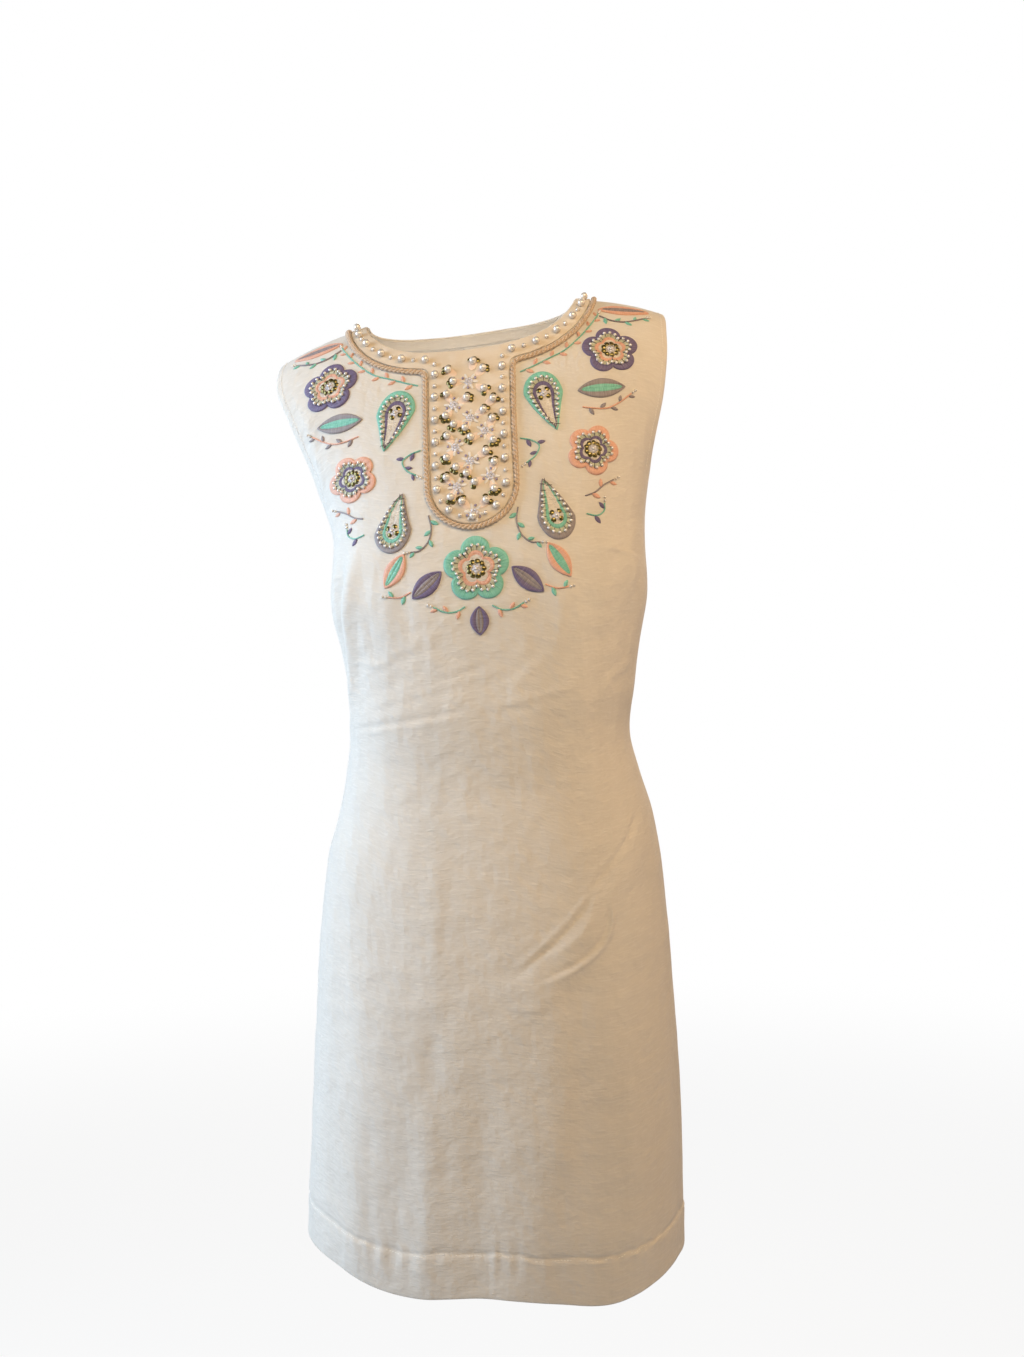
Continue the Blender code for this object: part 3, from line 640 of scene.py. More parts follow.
def slub_weave_group():
    """Plain weave with thick and thin weft: Shade is light and dark, Height the surface.

    The cloth is finely crinkled across its width in patches, softly crumpled all over, and faintly
    banded down its length.
    """
    inputs = [("Slub", 1.0), ("Thread", 1.0), ("Crinkle", 1.0)]
    group, given, out = new_group("slub_weave", inputs, ["Shade", "Height"])

    def noise(across, down, detail=2.0, distortion=0.0):
        place = scaled_uv(group, across, down)
        made = put(group, "TexNoise", Vector=place, Scale=1.0, Detail=detail, Distortion=distortion)
        return made.outputs["Fac"]

    slub = put(group, "MapRange", i0=noise(85, 560, 2.0, 0.4), i1=0.48, i2=0.74).outputs[0]
    threads = weighed(group, (noise(160, 1900), 0.6), (noise(1500, 60), 0.4))
    patches = put(group, "MapRange", i0=noise(9, 6, 2.0), i1=0.35, i2=0.65, i3=0.35).outputs[0]
    crinkles = (noise(125, 360, 2.0, 0.5), maths(group, "MULTIPLY", patches, 0.7))
    crinkle = weighed(group, crinkles, (noise(52, 68, 2.5), 3.2), (noise(90, 20, 1.0), 1.3))
    bands = noise(34, 2.5, 1.0, 0.3)
    cloud = noise(14, 9, 3.0)
    thick = maths(group, "MULTIPLY", slub, given["Slub"])
    fine = maths(group, "MULTIPLY", threads, given["Thread"])
    shade = weighed(group, (thick, 0.22), (fine, 0.3), (cloud, 0.3), (bands, 0.3), clamp=True)
    relief = weighed(group, (thick, 0.7), (fine, 0.8), (crinkle, given["Crinkle"]))
    group.links.new(shade, out["Shade"])
    group.links.new(relief, out["Height"])
    return group


def colour(red, green, blue):
    """A colour given as the eye sees it, from 11 to 255, in the shader's own linear values."""
    return tuple(((c / 255 + 0.055) / 1.055) ** 2.4 for c in (red, green, blue)) + (1.0,)


SLUB_WEAVE = slub_weave_group()


def new_material(name, finish):
    """A new material and its nodes; finish gives the constants on its shader's own sockets."""
    material = bpy.data.materials.new(name)
    material.use_nodes = True
    tree = material.node_tree
    for label, value in finish.items():
        tree.nodes["Principled BSDF"].inputs[label].default_value = value
    return material, tree


def mixed(tree, share, first, second):
    """A colour between two, at a share that varies over the surface."""
    return put(tree, "Mix", {"data_type": "RGBA"}, i0=share, i6=first, i7=second).outputs[2]


def two_shades(name, group, given, dark, light, depth, finish):
    """A cloth or thread: two near shades and a relief, both from a shader group."""
    material, tree = new_material(name, finish)
    made = tree.nodes.new("ShaderNodeGroup")
    made.node_tree = group
    for label, value in given.items():
        made.inputs[label].default_value = value
    base = mixed(tree, made.outputs["Shade"], colour(*dark), colour(*light))
    bump = put(tree, "Bump", Height=made.outputs["Height"], Distance=depth, Strength=1.0)
    shader = tree.nodes["Principled BSDF"]
    tree.links.new(base, shader.inputs["Base Color"])
    tree.links.new(bump.outputs["Normal"], shader.inputs["Normal"])
    return material


CLOTH_DEPTH = 0.00016
CLOTH_FINISH = {
    "Roughness": 0.82,
    "Sheen Weight": 0.18,
    "Sheen Roughness": 0.45,
    "Specular IOR Level": 0.25,
}


def woven(name, dark, light, slub=1.0, thread=1.0, crinkle=0.0):
    """Matt woven cloth in two near shades."""
    given = {"Slub": slub, "Thread": thread, "Crinkle": crinkle}
    return two_shades(name, SLUB_WEAVE, given, dark, light, CLOTH_DEPTH, CLOTH_FINISH)


IVORY = woven("ivory_slub_cloth", (214, 205, 191), (242, 236, 226), crinkle=4.0)

# the columns across the front stand closest between the centre and the left hip, where it creases
NECK_SHARE = 0.5
EDGE_SHARES = np.array([0.99, 0.9951, 0.9975, 0.999, 1.0])
FRONT_SHARES = spaced((-0.99, -0.5, 0, 0.5, 0.99), (36, 39, 60, 44))
FRONT_SHARES = np.concatenate([-EDGE_SHARES[:0:-1], FRONT_SHARES, EDGE_SHARES])


def cloth_panel(name, side, shares, node):
    """One panel of the dress: its edges roll in, and at a seam they stand half a seam gap back."""
    turn, row = panel_lay(side, shares, NECK_SHARE)
    points, _ = on_cloth(side, turn, row)
    lay, size = flat_lay(points), cut(points)
    points, _ = on_cloth(side, turn, row, rolled_in(points))
    away = -SEAM_GAP / 2 if side == "front" else SEAM_GAP / 2
    points[0, np.abs(shares) >= NECK_SHARE, 1] += away
    for end in (0, -1):
        if abs(shares[end]) > 0.5:
            points[UNDERARM_AT:, end, 1] += away
        else:
            points[:, end, 0] += SEAM_GAP / 2 * (1 if shares[-1] > 0.5 else -1)
    piece = show(name, lay_grid(points, lay, inward=side == "back"), IVORY)
    wall(piece, CLOTH)
    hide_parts(node)
    return piece, size


front, front_size = cloth_panel("front_cloth", "front", FRONT_SHARES, "front_panel")

# ---------------------------------------------------------------- back panels
# The back is cut in two halves of the same cloth and joined down the centre, so that the dress
# opens there for the head and hips. Its neckline is shallow and plain.
BACK_SHARES = np.concatenate([[0, 0.002, 0.0045, 0.008], np.linspace(0.015, 0.99, 92)[:-1], EDGE_SHARES])
back_sheets = [
    cloth_panel("back_cloth_left", "back", BACK_SHARES, "back_panel_left"),
    cloth_panel("back_cloth_right", "back", -BACK_SHARES[::-1], "back_panel_right"),
]

# ---------------------------------------------------------------- seam allowances
# Behind the shoulder, side and centre back seams the cut edges of the cloth are pressed open, a
# narrow strip to each side of the seam.
ALLOWANCE = 12.0
ALLOWANCE_THICK = 0.3
BEHIND = CLOTH + 0.1
SHOULDER_INSET = 4.0
OFFS = np.array([-ALLOWANCE, -8, -4.5, -2.2, -1.2, -0.5, 0, 0.5, 1.2, 2.2, 4.5, 8, ALLOWANCE])


def at_level(level):
    """The fractional row of a level below the ridge."""
    return np.interp(-np.asarray(level, float), -TABLE["level"], np.arange(len(SECTIONS)))


def behind_seam(off):
    return -(BEHIND + ROLL * np.exp(-((off / ROLL_REACH) ** 2)))


def strip(name, points, thick, inward, material=IVORY):
    """A narrow sheet that hangs behind other pieces, laid on its points."""
    piece = show(name, lay_grid(points, flat_lay(points), inward=inward), material)
    wall(piece, thick)
    return piece


levels = np.linspace(TABLE["level"][UNDERARM_ROW] - 1, STITCH_LEVEL + 3, 150)
for name, sign in (("left", 1), ("right", -1)):
    halves = []
    for side, offs in (("back", -OFFS[OFFS < 0]), ("front", OFFS[OFFS >= 0])):
        offs, rows = np.meshgrid(offs, at_level(levels))
        power = column("square_" + side, rows)
        turn = sign * (math.pi / 2 - (offs / column(side, rows) * (2 / power) ** (1 / power)) ** (power / 2))
        halves.append(on_cloth(side, turn, rows, behind_seam(offs))[0])
    strip("seam_allowance_side_" + name, np.hstack(halves), ALLOWANCE_THICK, sign > 0)

    x = sign * np.linspace(NECK_HALF + SHOULDER_INSET, SHOULDER_TIP - SHOULDER_INSET, 30)[::sign]
    halves = []
    for side, downs in (("back", -OFFS[OFFS < 0]), ("front", OFFS[OFFS >= 0])):
        places = np.stack(np.meshgrid(x, downs), axis=-1)
        halves.append(on_cloth(side, *turn_row(side, places), behind_seam(places[..., 1]))[0])
    strip("seam_allowance_shoulder_" + name, np.vstack(halves), ALLOWANCE_THICK, False)


def back_turn_row(across, level):
    """Turn and row on the back at a distance across from the centre seam, at a level."""
    row = at_level(level)
    return np.arcsin(np.clip(across / half_width(across, row), -1, 1)), row


neck_level = np.interp(NECK_DEPTH["back"], DOWN["back"], column("level", DOWN_ROWS))
offs, levels = np.meshgrid(OFFS, np.linspace(neck_level - 0.4, STITCH_LEVEL + 3, 160))
points, _ = on_cloth("back", *back_turn_row(offs, levels), behind_seam(offs))
strip("seam_allowance_centre_back", points, ALLOWANCE_THICK, True)

# ---------------------------------------------------------------- concealed zip
# The centre back closes with a concealed zip: two narrow woven tapes stand flat behind the seam
# and a fine nylon coil joins them. It is shown closed, its slider hidden inside the neck.
ZIP_LIFT = 0.85
TAPE_WIDTH = 11.0
TAPE_THICK = 0.6
COIL_GAP = 1.5
COIL_PITCH = 1.9
ZIP_TOP, ZIP_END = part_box("back_zip")[1][2] / MM - 2.0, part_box("back_zip")[0][2] / MM + 2.0

TAPE = woven("zip_tape_cloth", (206, 198, 186), (234, 228, 218), slub=0.1, thread=1.2)


def behind_back(across, level, lift=0.0):
    return on_cloth("back", *back_turn_row(*np.broadcast_arrays(across, level)), -(CLOTH + ZIP_LIFT + lift))


levels = np.linspace(ZIP_TOP, ZIP_END, 121)[:, None]
for name, sign in (("left", 1), ("right", -1)):
    across = np.linspace(COIL_GAP / 2, COIL_GAP / 2 + TAPE_WIDTH, 7) * sign
    points, _ = behind_back(across[:: sign][None, :], levels)
    strip("zip_tape_" + name, points, TAPE_THICK, True, TAPE)
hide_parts("back_zip")


def pellet(long, wide, thick, rounds=4, sides=6):
    """The maker of a stitch or tooth: a ball drawn out along X."""
    sizes = Matrix.Diagonal((long / 2 * MM, wide / 2 * MM, thick / 2 * MM, 1))
    sizes = sizes @ Matrix.Rotation(math.pi / 2, 4, "Y")
    return lambda bm: bmesh.ops.create_uvsphere(
        bm, u_segments=sides, v_segments=rounds, radius=1.0, matrix=sizes
    )


def seats(points, outs, aims, tip=0.0):
    """A matrix for each place: Z out of the cloth, X towards its aim, tipped about Y."""
    outs = outs / np.linalg.norm(outs, axis=-1, keepdims=True)
    aims = aims - outs * (aims * outs).sum(axis=-1, keepdims=True)
    aims = aims / np.linalg.norm(aims, axis=-1, keepdims=True)
    beside = np.cross(outs, aims)
    made = []
    for place, aim, side_on, out in zip(points, aims, beside, outs):
        seat = Matrix((aim, side_on, out)).transposed().to_4x4()
        seat.translation = place * MM
        made.append(seat @ Matrix.Rotation(tip, 4, "Y"))
    return made


def sewn(name, make, places, material):
    """Many copies of one small shape, made in metres at the origin, as one piece."""
    bm = bmesh.new()
    make(bm)
    small = mesh_of("small_shape", bm)
    bm = bmesh.new()
    for place in places:
        copy = small.copy()
        copy.transform(place)
        bm.from_mesh(copy)
        bpy.data.meshes.remove(copy)
    bpy.data.meshes.remove(small)
    piece = show(name, bm, material, smooth_to=50)
    return piece


coil_levels = np.arange(ZIP_TOP - 3, ZIP_END + 6, -COIL_PITCH)
points, outs = behind_back(np.zeros(len(coil_levels)), coil_levels, TAPE_THICK / 2)
down = np.gradient(points, axis=0)
places = seats(points, outs, np.cross(down, outs))
sewn("zip_coil", pellet(3.4, 1.3, 1.2), places, TAPE)

# ---------------------------------------------------------------- hem and edge stitching
# The hem is turned up inside and caught by a line of stitches, some of them sunk in the cloth.
# The armholes and the back neck are turned in and stitched close to their edges.
TURNING_LIFT = CLOTH + 0.15
TURNING_THICK = 0.9
EDGE_TURNING = 11.0
EDGE_TURNING_THICK = 0.5
OVER_ALLOWANCE = BEHIND + ALLOWANCE_THICK + 0.1
EDGE_STITCH = 5.0
STITCH_PITCH = 2.8
SUNK = -0.4


def turning(name, side, points, thick):
    """A turned-in edge, laid on points that run down and towards +X."""
    strip(name, points, thick, side == "back")


def over_allowance(inset):
    """How far a turning stands behind the cloth's face at an inset from the rolled edge."""
    return -(OVER_ALLOWANCE + ROLL * np.exp(-((inset / ROLL_REACH) ** 2)))


level_rows = np.linspace(STITCH_LEVEL + 3, HEM_LEVEL + 0.5, 15)[:, None]
for side in ("front", "back"):
    turns = np.linspace(-1, 1, 201)[None, :] * math.radians(89.0)
    points, _ = on_cloth(side, *np.broadcast_arrays(turns, at_level(level_rows)), -TURNING_LIFT)
    turning("hem_turning_" + side, side, points, TURNING_THICK)

def whole_neckline(side, extra, end):
    """The neckline, or a curve outside it, from right to left down to an end near the ridge."""
    half = neckline(side, extra)
    half = half[half[:, 1] >= end]
    return np.concatenate([half[::-1] * [-1, 1], half[1:]])


insets = np.linspace(0.5, EDGE_TURNING, 9)
shares = np.linspace(0, 1, 121)
places = [along_line(whole_neckline("back", inset, 1.0), shares) for inset in insets]
points, _ = on_cloth("back", *turn_row("back", np.array(places)), over_allowance(insets)[:, None])
turning("neck_turning_back", "back", points, EDGE_TURNING_THICK)

row = np.linspace(0.3, UNDERARM_ROW - 0.1, 90)[:, None]
for side in ("front", "back"):
    for name, sign in (("left", 1), ("right", -1)):
        inset = insets[::-1] if sign > 0 else insets
        reach = column("edge_" + name, row) - inset
        turn = sign * np.arcsin(reach / half_width(sign, row))
        points, _ = on_cloth(side, *np.broadcast_arrays(turn, row), over_allowance(inset)[None, :])
        turning(f"armhole_turning_{side}_{name}", side, points, EDGE_TURNING_THICK)

# painted highlight: the stitch thread is partly its own ivory and partly painted lighter than the cloth,
# standing in for light caught along the stitch line
STITCH_THREAD_AND_HIGHLIGHT = woven("ivory_thread_and_painted_highlight", (240, 234, 222), (255, 252, 246), slub=0.0, thread=0.4)


def stitch_line(side, turn, row, pitch=STITCH_PITCH, lift=0.1):
    """Seats for stitches along a line of turns and rows."""
    points, outs = on_cloth(side, turn, row, lift)
    line = np.hstack([points, outs])
    along = lengths_along(points)
    at = np.arange(pitch / 2, along[-1], pitch)
    line = np.stack([np.interp(at, along, line[:, k]) for k in range(6)], axis=-1)
    return seats(line[:, :3], line[:, 3:], np.gradient(line[:, :3], axis=0))


places = []
for side in ("front", "back"):
    turn = np.linspace(-1, 1, 800) * math.pi / 2
    line = stitch_line(side, turn, at_level(stitch_level(turn * ROUND_RADIUS)))
    places += [seat for k, seat in enumerate(line) if math.sin(k * 0.9 + 2 * math.sin(k * 0.23)) > SUNK]
    row = np.linspace(0.4, UNDERARM_ROW - 0.15, 300)
    for sign, edge in ((-1, "edge_right"), (1, "edge_left")):
        reach = column(edge, row) - EDGE_STITCH
        places += stitch_line(side, sign * np.arcsin(reach / half_width(np.full(300, sign), row)), row)
places += stitch_line("back", *turn_row("back", whole_neckline("back", EDGE_STITCH, 1.0)))
sewn("hem_and_edge_stitches", pellet(2.3, 0.75, 0.6), places, STITCH_THREAD_AND_HIGHLIGHT)

# ---------------------------------------------------------------- beaded backing
# A T of plain cream cloth lies on the front: a band round the neckline with the bib below it.
# It is sewn down along its edges, and the beads sewn through it leave it slightly puckered.
BAND_WIDTH = 15.5
BAND_INSET = 1.2
BIB_HALF = 37.0
BIB_BOTTOM = 272.0
BIB_CORNER = 7.0
BIB_CORNER_DROP = 1.5
TRIM_END = 1.5
BACKING_LIFT = 0.5
BACKING_THICK = 1.0
BACKING_ROWS = 90
DIMPLE = 0.75
DIMPLE_SPREAD = 4.4
BIB_PEARLS = (
    (4, 113), (-19, 119), (13, 122), (-14, 132), (14, 143), (-20, 144), (-2, 150), (22, 154),
    (13, 164), (-21, 166), (21, 174), (-14, 176), (-4, 181), (-20, 187), (1, 191), (21, 196),
    (14, 206), (-21, 208), (21, 217), (-13, 218), (-4, 225), (-22, 227), (3, 234), (20, 242),
    (-19, 246), (-9, 251), (12, 252),
)
CRYSTAL_FLOWERS = (
    (0, 133), (-14, 155), (1, 170), (14, 185), (-13, 198), (0, 213), (17, 229), (-13, 236), (1, 262),
)

CREAM = woven("cream_backing_cloth", (214, 194, 166), (246, 234, 216), slub=0.3, thread=0.9, crinkle=2.0)


def on_front(places, lift=0.0):
    """Points and normals of places (across, down) on the front, moved out by lift."""
    return on_cloth("front", *turn_row("front", places), lift)


def evenly(line, step):
    """Points along a line at about one step from each other."""
    return along_line(line, np.linspace(0, 1, int(round(line_length(line) / step)) + 1))


def trim_line(out):
    """The edge of the T, or a line that far outside it, from the left shoulder round the bib."""
    half = BIB_HALF + out
    band = neckline("front", BAND_WIDTH + out)[::-1]
    band = band[(band[:, 0] >= half + BIB_CORNER) & (band[:, 1] >= TRIM_END)]
    end = band[-1]
    turn_in = np.linspace(0, 1, 8)[1:, None]
    corner = np.array([half, end[1] + BIB_CORNER_DROP])
    after = corner + [0, BIB_CORNER]
    bend = end * (1 - turn_in) ** 2 + corner * 2 * turn_in * (1 - turn_in) + after * turn_in**2
    turns = np.linspace(0, math.pi / 2, 16)
    centre = BIB_BOTTOM - BIB_HALF
    round_end = np.stack([half * np.cos(turns), centre + half * np.sin(turns)], axis=-1)
    side = np.concatenate([band, bend, round_end])
    return np.concatenate([side, side[-2::-1] * [-1, 1]])


def backing_lay():
    """Places of the T's grid: columns from the right shoulder to the left, rows from the neck out."""
    outer = evenly(trim_line(0.0), 3.0)[::-1]
    inner = whole_neckline("front", BAND_INSET, TRIM_END)
    corner = np.argmax(outer[:, 0] > -BIB_HALF - 1.0) / (len(outer) - 1)
    along = lengths_along(inner)
    split = np.interp(-BIB_HALF * 0.96, inner[:, 0], along / along[-1])
    shares = np.linspace(0, 1, len(outer))
    inner = along_line(inner, np.interp(shares, [0, corner, 1 - corner, 1], [0, split, 1 - split, 1]))
    t = np.linspace(0, 1, BACKING_ROWS)[:, None, None]
    return inner * (1 - t) + outer * t


places = backing_lay()
t = np.linspace(0, 1, BACKING_ROWS)[:, None]
across, down = places[..., 0], places[..., 1]
pucker = 0.2 * np.sin(across / 3.1 + 2 * np.sin(down / 7.3)) * np.sin(down / 4.3)
pucker += 0.45 * np.sin(across / 5.7 + 1.6 * np.sin(down / 11)) * np.sin(down / 6.1 + 0.8)
for bead in (*BIB_PEARLS, *CRYSTAL_FLOWERS):
    pucker -= DIMPLE * np.exp(-(((places - bead) ** 2).sum(axis=-1) / DIMPLE_SPREAD**2))
sewn_down = np.minimum(smooth(t / 0.06), smooth((1 - t) / 0.04))
points, _ = on_front(places, BACKING_LIFT + BACKING_THICK - 0.4 * (1 - sewn_down) + pucker * sewn_down)
lay = np.stack([places[..., 0], -places[..., 1]], axis=-1) * MM
backing = show("bib_backing", lay_grid(points, lay), CREAM)
wall(backing, BACKING_THICK * 0.5)
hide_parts("beaded_bib")

# ---------------------------------------------------------------- twisted braid
# Two strands of beige yarn are twisted together into a cord, which is couched down round the whole
# edge of the T, from one shoulder round the foot of the bib to the other.
BRAID_OUT = 3.3
BRAID_LIFT = 2.1
BRAID_PITCH = 8.5
STRAND = 1.4
STRAND_SWAY = 1.35
STRAND_RISE = 0.6


def closed(bm):
    """Joins what meets, fills the open ends and turns every face outwards."""
    bmesh.ops.remove_doubles(bm, verts=bm.verts[:], dist=1e-6)
    bmesh.ops.holes_fill(bm, edges=[edge for edge in bm.edges if edge.is_boundary], sides=0)
    bmesh.ops.recalc_face_normals(bm, faces=bm.faces[:])
    return bm


def tube(middle, out, radius, sides=8):
    """A closed tube round a line of points, out being the cloth's normal beside each."""
    along = np.gradient(middle, axis=0)
    along /= np.linalg.norm(along, axis=1, keepdims=True)
    beside = np.cross(along, out)
    beside /= np.linalg.norm(beside, axis=1, keepdims=True)
    upward = np.cross(beside, along)
    turns = np.linspace(0, math.tau, sides + 1)[:, None, None]
    points = middle + radius * (np.cos(turns) * beside + np.sin(turns) * upward)
    along = lengths_along(middle)[None, :]
    lay = np.stack(np.broadcast_arrays(along, turns[:, :, 0] * radius), axis=-1) * MM
    return closed(lay_grid(points, lay))


def joined(name, parts, material):
    """Meshes with their UVs, made one piece."""
    bm = bmesh.new()
    for part in parts:
        mesh = mesh_of(name, part)
        bm.from_mesh(mesh)
        bpy.data.meshes.remove(mesh)
    piece = show(name, bm, material)
    return piece


def twisted_thread_group():
    """Fine plies that run slantwise round a yarn whose UV runs along it and round it."""
    group, given, out = new_group("twisted_thread", [("Plies", 2600.0), ("Slant", 0.9)], ["Shade", "Height"])
    place = put(group, "SeparateXYZ", Vector=put(group, "TexCoord").outputs["UV"]).outputs
    slant = maths(group, "ADD", maths(group, "MULTIPLY", place["X"], given["Slant"]), place["Y"])
    wave = maths(group, "SINE", maths(group, "MULTIPLY", slant, given["Plies"]), 0.0)
    ply = maths(group, "ADD", maths(group, "MULTIPLY", wave, 0.35), 0.5)
    fuzz = put(group, "TexNoise", Vector=put(group, "TexCoord").outputs["Object"], Scale=900.0, Detail=2.0)
    both = weighed(group, (ply, 0.6), (fuzz.outputs["Fac"], 0.4))
    group.links.new(both, out["Shade"])
    group.links.new(both, out["Height"])
    return group


TWISTED_THREAD = twisted_thread_group()


def threaded(name, group, dark, light, rough=0.5, depth=0.0002, sheen=0.25):
    """A thread material: two near shades and a relief from one of the thread groups."""
    finish = {"Roughness": rough, "Sheen Weight": sheen}
    return two_shades(name, group, {}, dark, light, depth, finish)


BRAID_YARN = threaded("beige_braid_yarn", TWISTED_THREAD, (178, 144, 112), (236, 212, 182), rough=0.5)

path = evenly(trim_line(BRAID_OUT), 1.0)
across = np.gradient(path, axis=0)
across = np.stack([-across[:, 1], across[:, 0]], axis=-1) / np.linalg.norm(across, axis=1, keepdims=True)
twist = math.tau * np.arange(len(path)) / BRAID_PITCH
strands = []
for start in (0.0, math.pi):
    sway = path + across * (STRAND_SWAY * np.cos(twist + start))[:, None]
    middle, out = on_front(sway, BRAID_LIFT + STRAND_RISE * np.sin(twist + start))
    strands.append(tube(middle, out, STRAND))
braid = joined("twisted_braid", strands, BRAID_YARN)
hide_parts("braid")

# ---------------------------------------------------------------- embroidered motifs
# Paisleys, flowers and leaves are worked in satin stitch over padding, in bands of two colours
# round a cream one. Each is sewn on beside the T, and the two sides mirror each other.
MOTIF_COLUMNS = ("name", "kind", "across", "down", "length", "width", "turn", "thread", "inner")
SIDE_MOTIFS = (
    ("shoulder_leaf", "leaf", 121, 53, 50, 20, 12, "peach", "grey"),
    ("top_flower", "flower", 131, 109, 54, 54, 24, "lilac", "peach"),
    ("upper_paisley", "paisley", 66, 191, 60, 36, 90, "mint", "lilac"),
    ("upper_leaf", "leaf", 99, 153, 45, 20, 4, "grey", "mint"),
    ("middle_flower", "flower", 110, 212, 48, 48, -8, "peach", "lilac"),
    ("lower_paisley", "paisley", 75, 236, 56, 34, -90, "grey", "mint"),
    ("lower_leaf", "leaf", 64, 294, 36, 18, -58, "peach", "mint"),
    ("centre_leaf", "leaf", 31, 313, 36, 18, -40, "lilac", "grey"),
)
CENTRE_MOTIFS = (
    ("centre_flower", "flower", 0, 313, 60, 60, 90, "mint", "peach"),
    ("tip_leaf", "leaf", 0, 346, 26, 17, -90, "lilac", "grey"),
)
PETALS = 5
PETAL_VALLEY = 0.72
PETAL_POWER = 0.7
LEAF_POWER = 0.8
PAISLEY_WAIST = 0.62
PAISLEY_CURL = 0.36

# the bands of each kind from the edge inwards: thread, and where each starts as a share
BANDS = {
    "paisley": (("own", 0.0), ("cream", 0.27), ("inner", 0.45), ("ground", 0.62)),
    "flower": (("own", 0.0), ("cream", 0.28), ("inner", 0.44), ("ground", 0.56)),
    "leaf": (("own", 0.0), ("inner", 0.6)),
}
BAND_PROFILE = ((0.03, 0.25), (0.2, 0.75), (0.5, 1.0), (0.8, 0.75), (0.97, 0.25))
GROUND_RISE = 0.35
PAD_BOTTOM = 0.15
PAD_LIFT = 1.2
PAD_RISE = 0.85
OUTLINE_STEP = 1.6


def satin_stitch_group():
    """Threads laid side by side across a band, whose UV runs along the band and across it."""
    group, given, out = new_group("satin_stitch", [("Threads", 1500.0)], ["Shade", "Height"])
    place = put(group, "SeparateXYZ", Vector=put(group, "TexCoord").outputs["UV"]).outputs
    along = maths(group, "MULTIPLY", place["X"], given["Threads"])
    across = maths(group, "MULTIPLY", place["Y"], 45.0)
    strand = put(group, "CombineXYZ", X=along, Y=across).outputs[0]
    thread = put(group, "TexNoise", Vector=strand, Scale=1.0, Detail=2.0, Roughness=0.6).outputs["Fac"]
    thread = put(group, "MapRange", i0=thread, i1=0.3, i2=0.7).outputs[0]
    group.links.new(thread, out["Shade"])
    group.links.new(thread, out["Height"])
    return group


SATIN_STITCH = satin_stitch_group()


def floss(name, dark, light):
    return threaded(name, SATIN_STITCH, dark, light, rough=0.42, depth=0.00022, sheen=0.1)


FLOSS = {
    "peach": floss("peach_floss", (226, 158, 128), (248, 202, 178)),
    "mint": floss("mint_floss", (104, 186, 160), (156, 220, 200)),
    "grey": floss("grey_floss", (128, 118, 118), (172, 162, 162)),
    "lilac": floss("lilac_floss", (88, 76, 108), (138, 124, 160)),
    "cream": floss("pale_green_floss", (180, 182, 152), (222, 222, 196)),
    "ground": floss("ivory_floss", (216, 204, 186), (246, 238, 226)),
}
SPOKE_FLOSS = floss("charcoal_floss", (62, 58, 62), (104, 98, 102))


def paisley_middle(length, width, t):
    """The paisley's curled middle line at shares of its length."""
    return np.stack([t * length, width * PAISLEY_CURL * (1 - t) ** 2], axis=-1)


def motif_outline(kind, length, width):
    """Outline and inner line of a motif, point for point, pointing to +across from its root."""
    if kind == "flower":
        turns = np.linspace(0, math.tau, 241)
        petal = np.abs(np.cos(turns * PETALS / 2)) ** PETAL_POWER
        radius = length / 2 * (PETAL_VALLEY + (1 - PETAL_VALLEY) * petal)
        edge = evenly(np.stack([radius * np.cos(turns), radius * np.sin(turns)], axis=-1), OUTLINE_STEP)
        return edge, edge * 0.0
    t = (1 - np.cos(np.linspace(0, math.pi, 121))) / 2
    if kind == "leaf":
        half = width / 2 * np.maximum(np.sin(math.pi * t), 0) ** LEAF_POWER
        ends = (0.12, 0.88)
    else:
        rounded = np.sqrt(np.maximum(1 - ((t - PAISLEY_WAIST) / (1 - PAISLEY_WAIST)) ** 2, 0))
        half = width / 2 * np.where(t < PAISLEY_WAIST, (t / PAISLEY_WAIST) ** LEAF_POWER, rounded)
        ends = (0.1, PAISLEY_WAIST)
    side = evenly(np.stack([t * length, half, t], axis=-1), OUTLINE_STEP)
    half, t = side[:, 1:2], side[:, 2]
    middle = paisley_middle(length, width if kind == "paisley" else 0.0, t)
    spine = paisley_middle(length, width if kind == "paisley" else 0.0, np.clip(t, *ends))
    edge = np.vstack([middle - half * [0, 1], (middle + half * [0, 1])[-2::-1]])
    return edge, np.vstack([spine, spine[-2::-1]])


def set_in_place(places, motif, mirrored):
    """Turns a motif's own places to where it is sewn on the front."""
    c, s = math.cos(math.radians(motif["turn"])), math.sin(math.radians(motif["turn"]))
    places = places @ np.array([[c, -s], [s, c]]) + [motif["across"], motif["down"]]
    return places * [-1, 1] if mirrored else places


def band_line(edge, spine, share):
    return edge * (1 - share) + spine * share


def pad(edge, spine, profile):
    """The mesh of a padded form: its profile gives share from edge to spine, lift and thread."""
    shares, lifts, threads = zip(*profile)
    shares = np.array(shares)[:, None, None]
    points, _ = on_front(band_line(edge, spine, shares), np.array(lifts)[:, None])
    inwards = np.linalg.norm(spine - edge, axis=1)[None, :] * shares[:, :, 0]
    lay = np.stack(np.broadcast_arrays(lengths_along(edge)[None, :], inwards), axis=-1) * MM
    return closed(lay_grid(points, lay, threads=threads))


def stitched_pad(name, motif, edge, spine):
    """The padded form: an underside, then each band's rounded profile from the edge inwards."""
    bands = BANDS[motif["kind"]]
    profile = [(1.0, PAD_BOTTOM, 0), (0.0, PAD_BOTTOM, 0)]
    for k, (thread, start) in enumerate(bands):
        end = bands[k + 1][1] if k + 1 < len(bands) else 1.0
        rise = PAD_RISE * (GROUND_RISE if thread == "ground" else 1.0)
        for at, height in BAND_PROFILE:
            profile.append((start + (end - start) * at, PAD_LIFT + rise * (height - 0.25), k))
    profile.append((1.0, *profile[-1][1:]))
    colours = [FLOSS[motif.get(thread, thread)] for thread, _ in bands]
    return show(name, pad(edge, spine, profile), *colours)


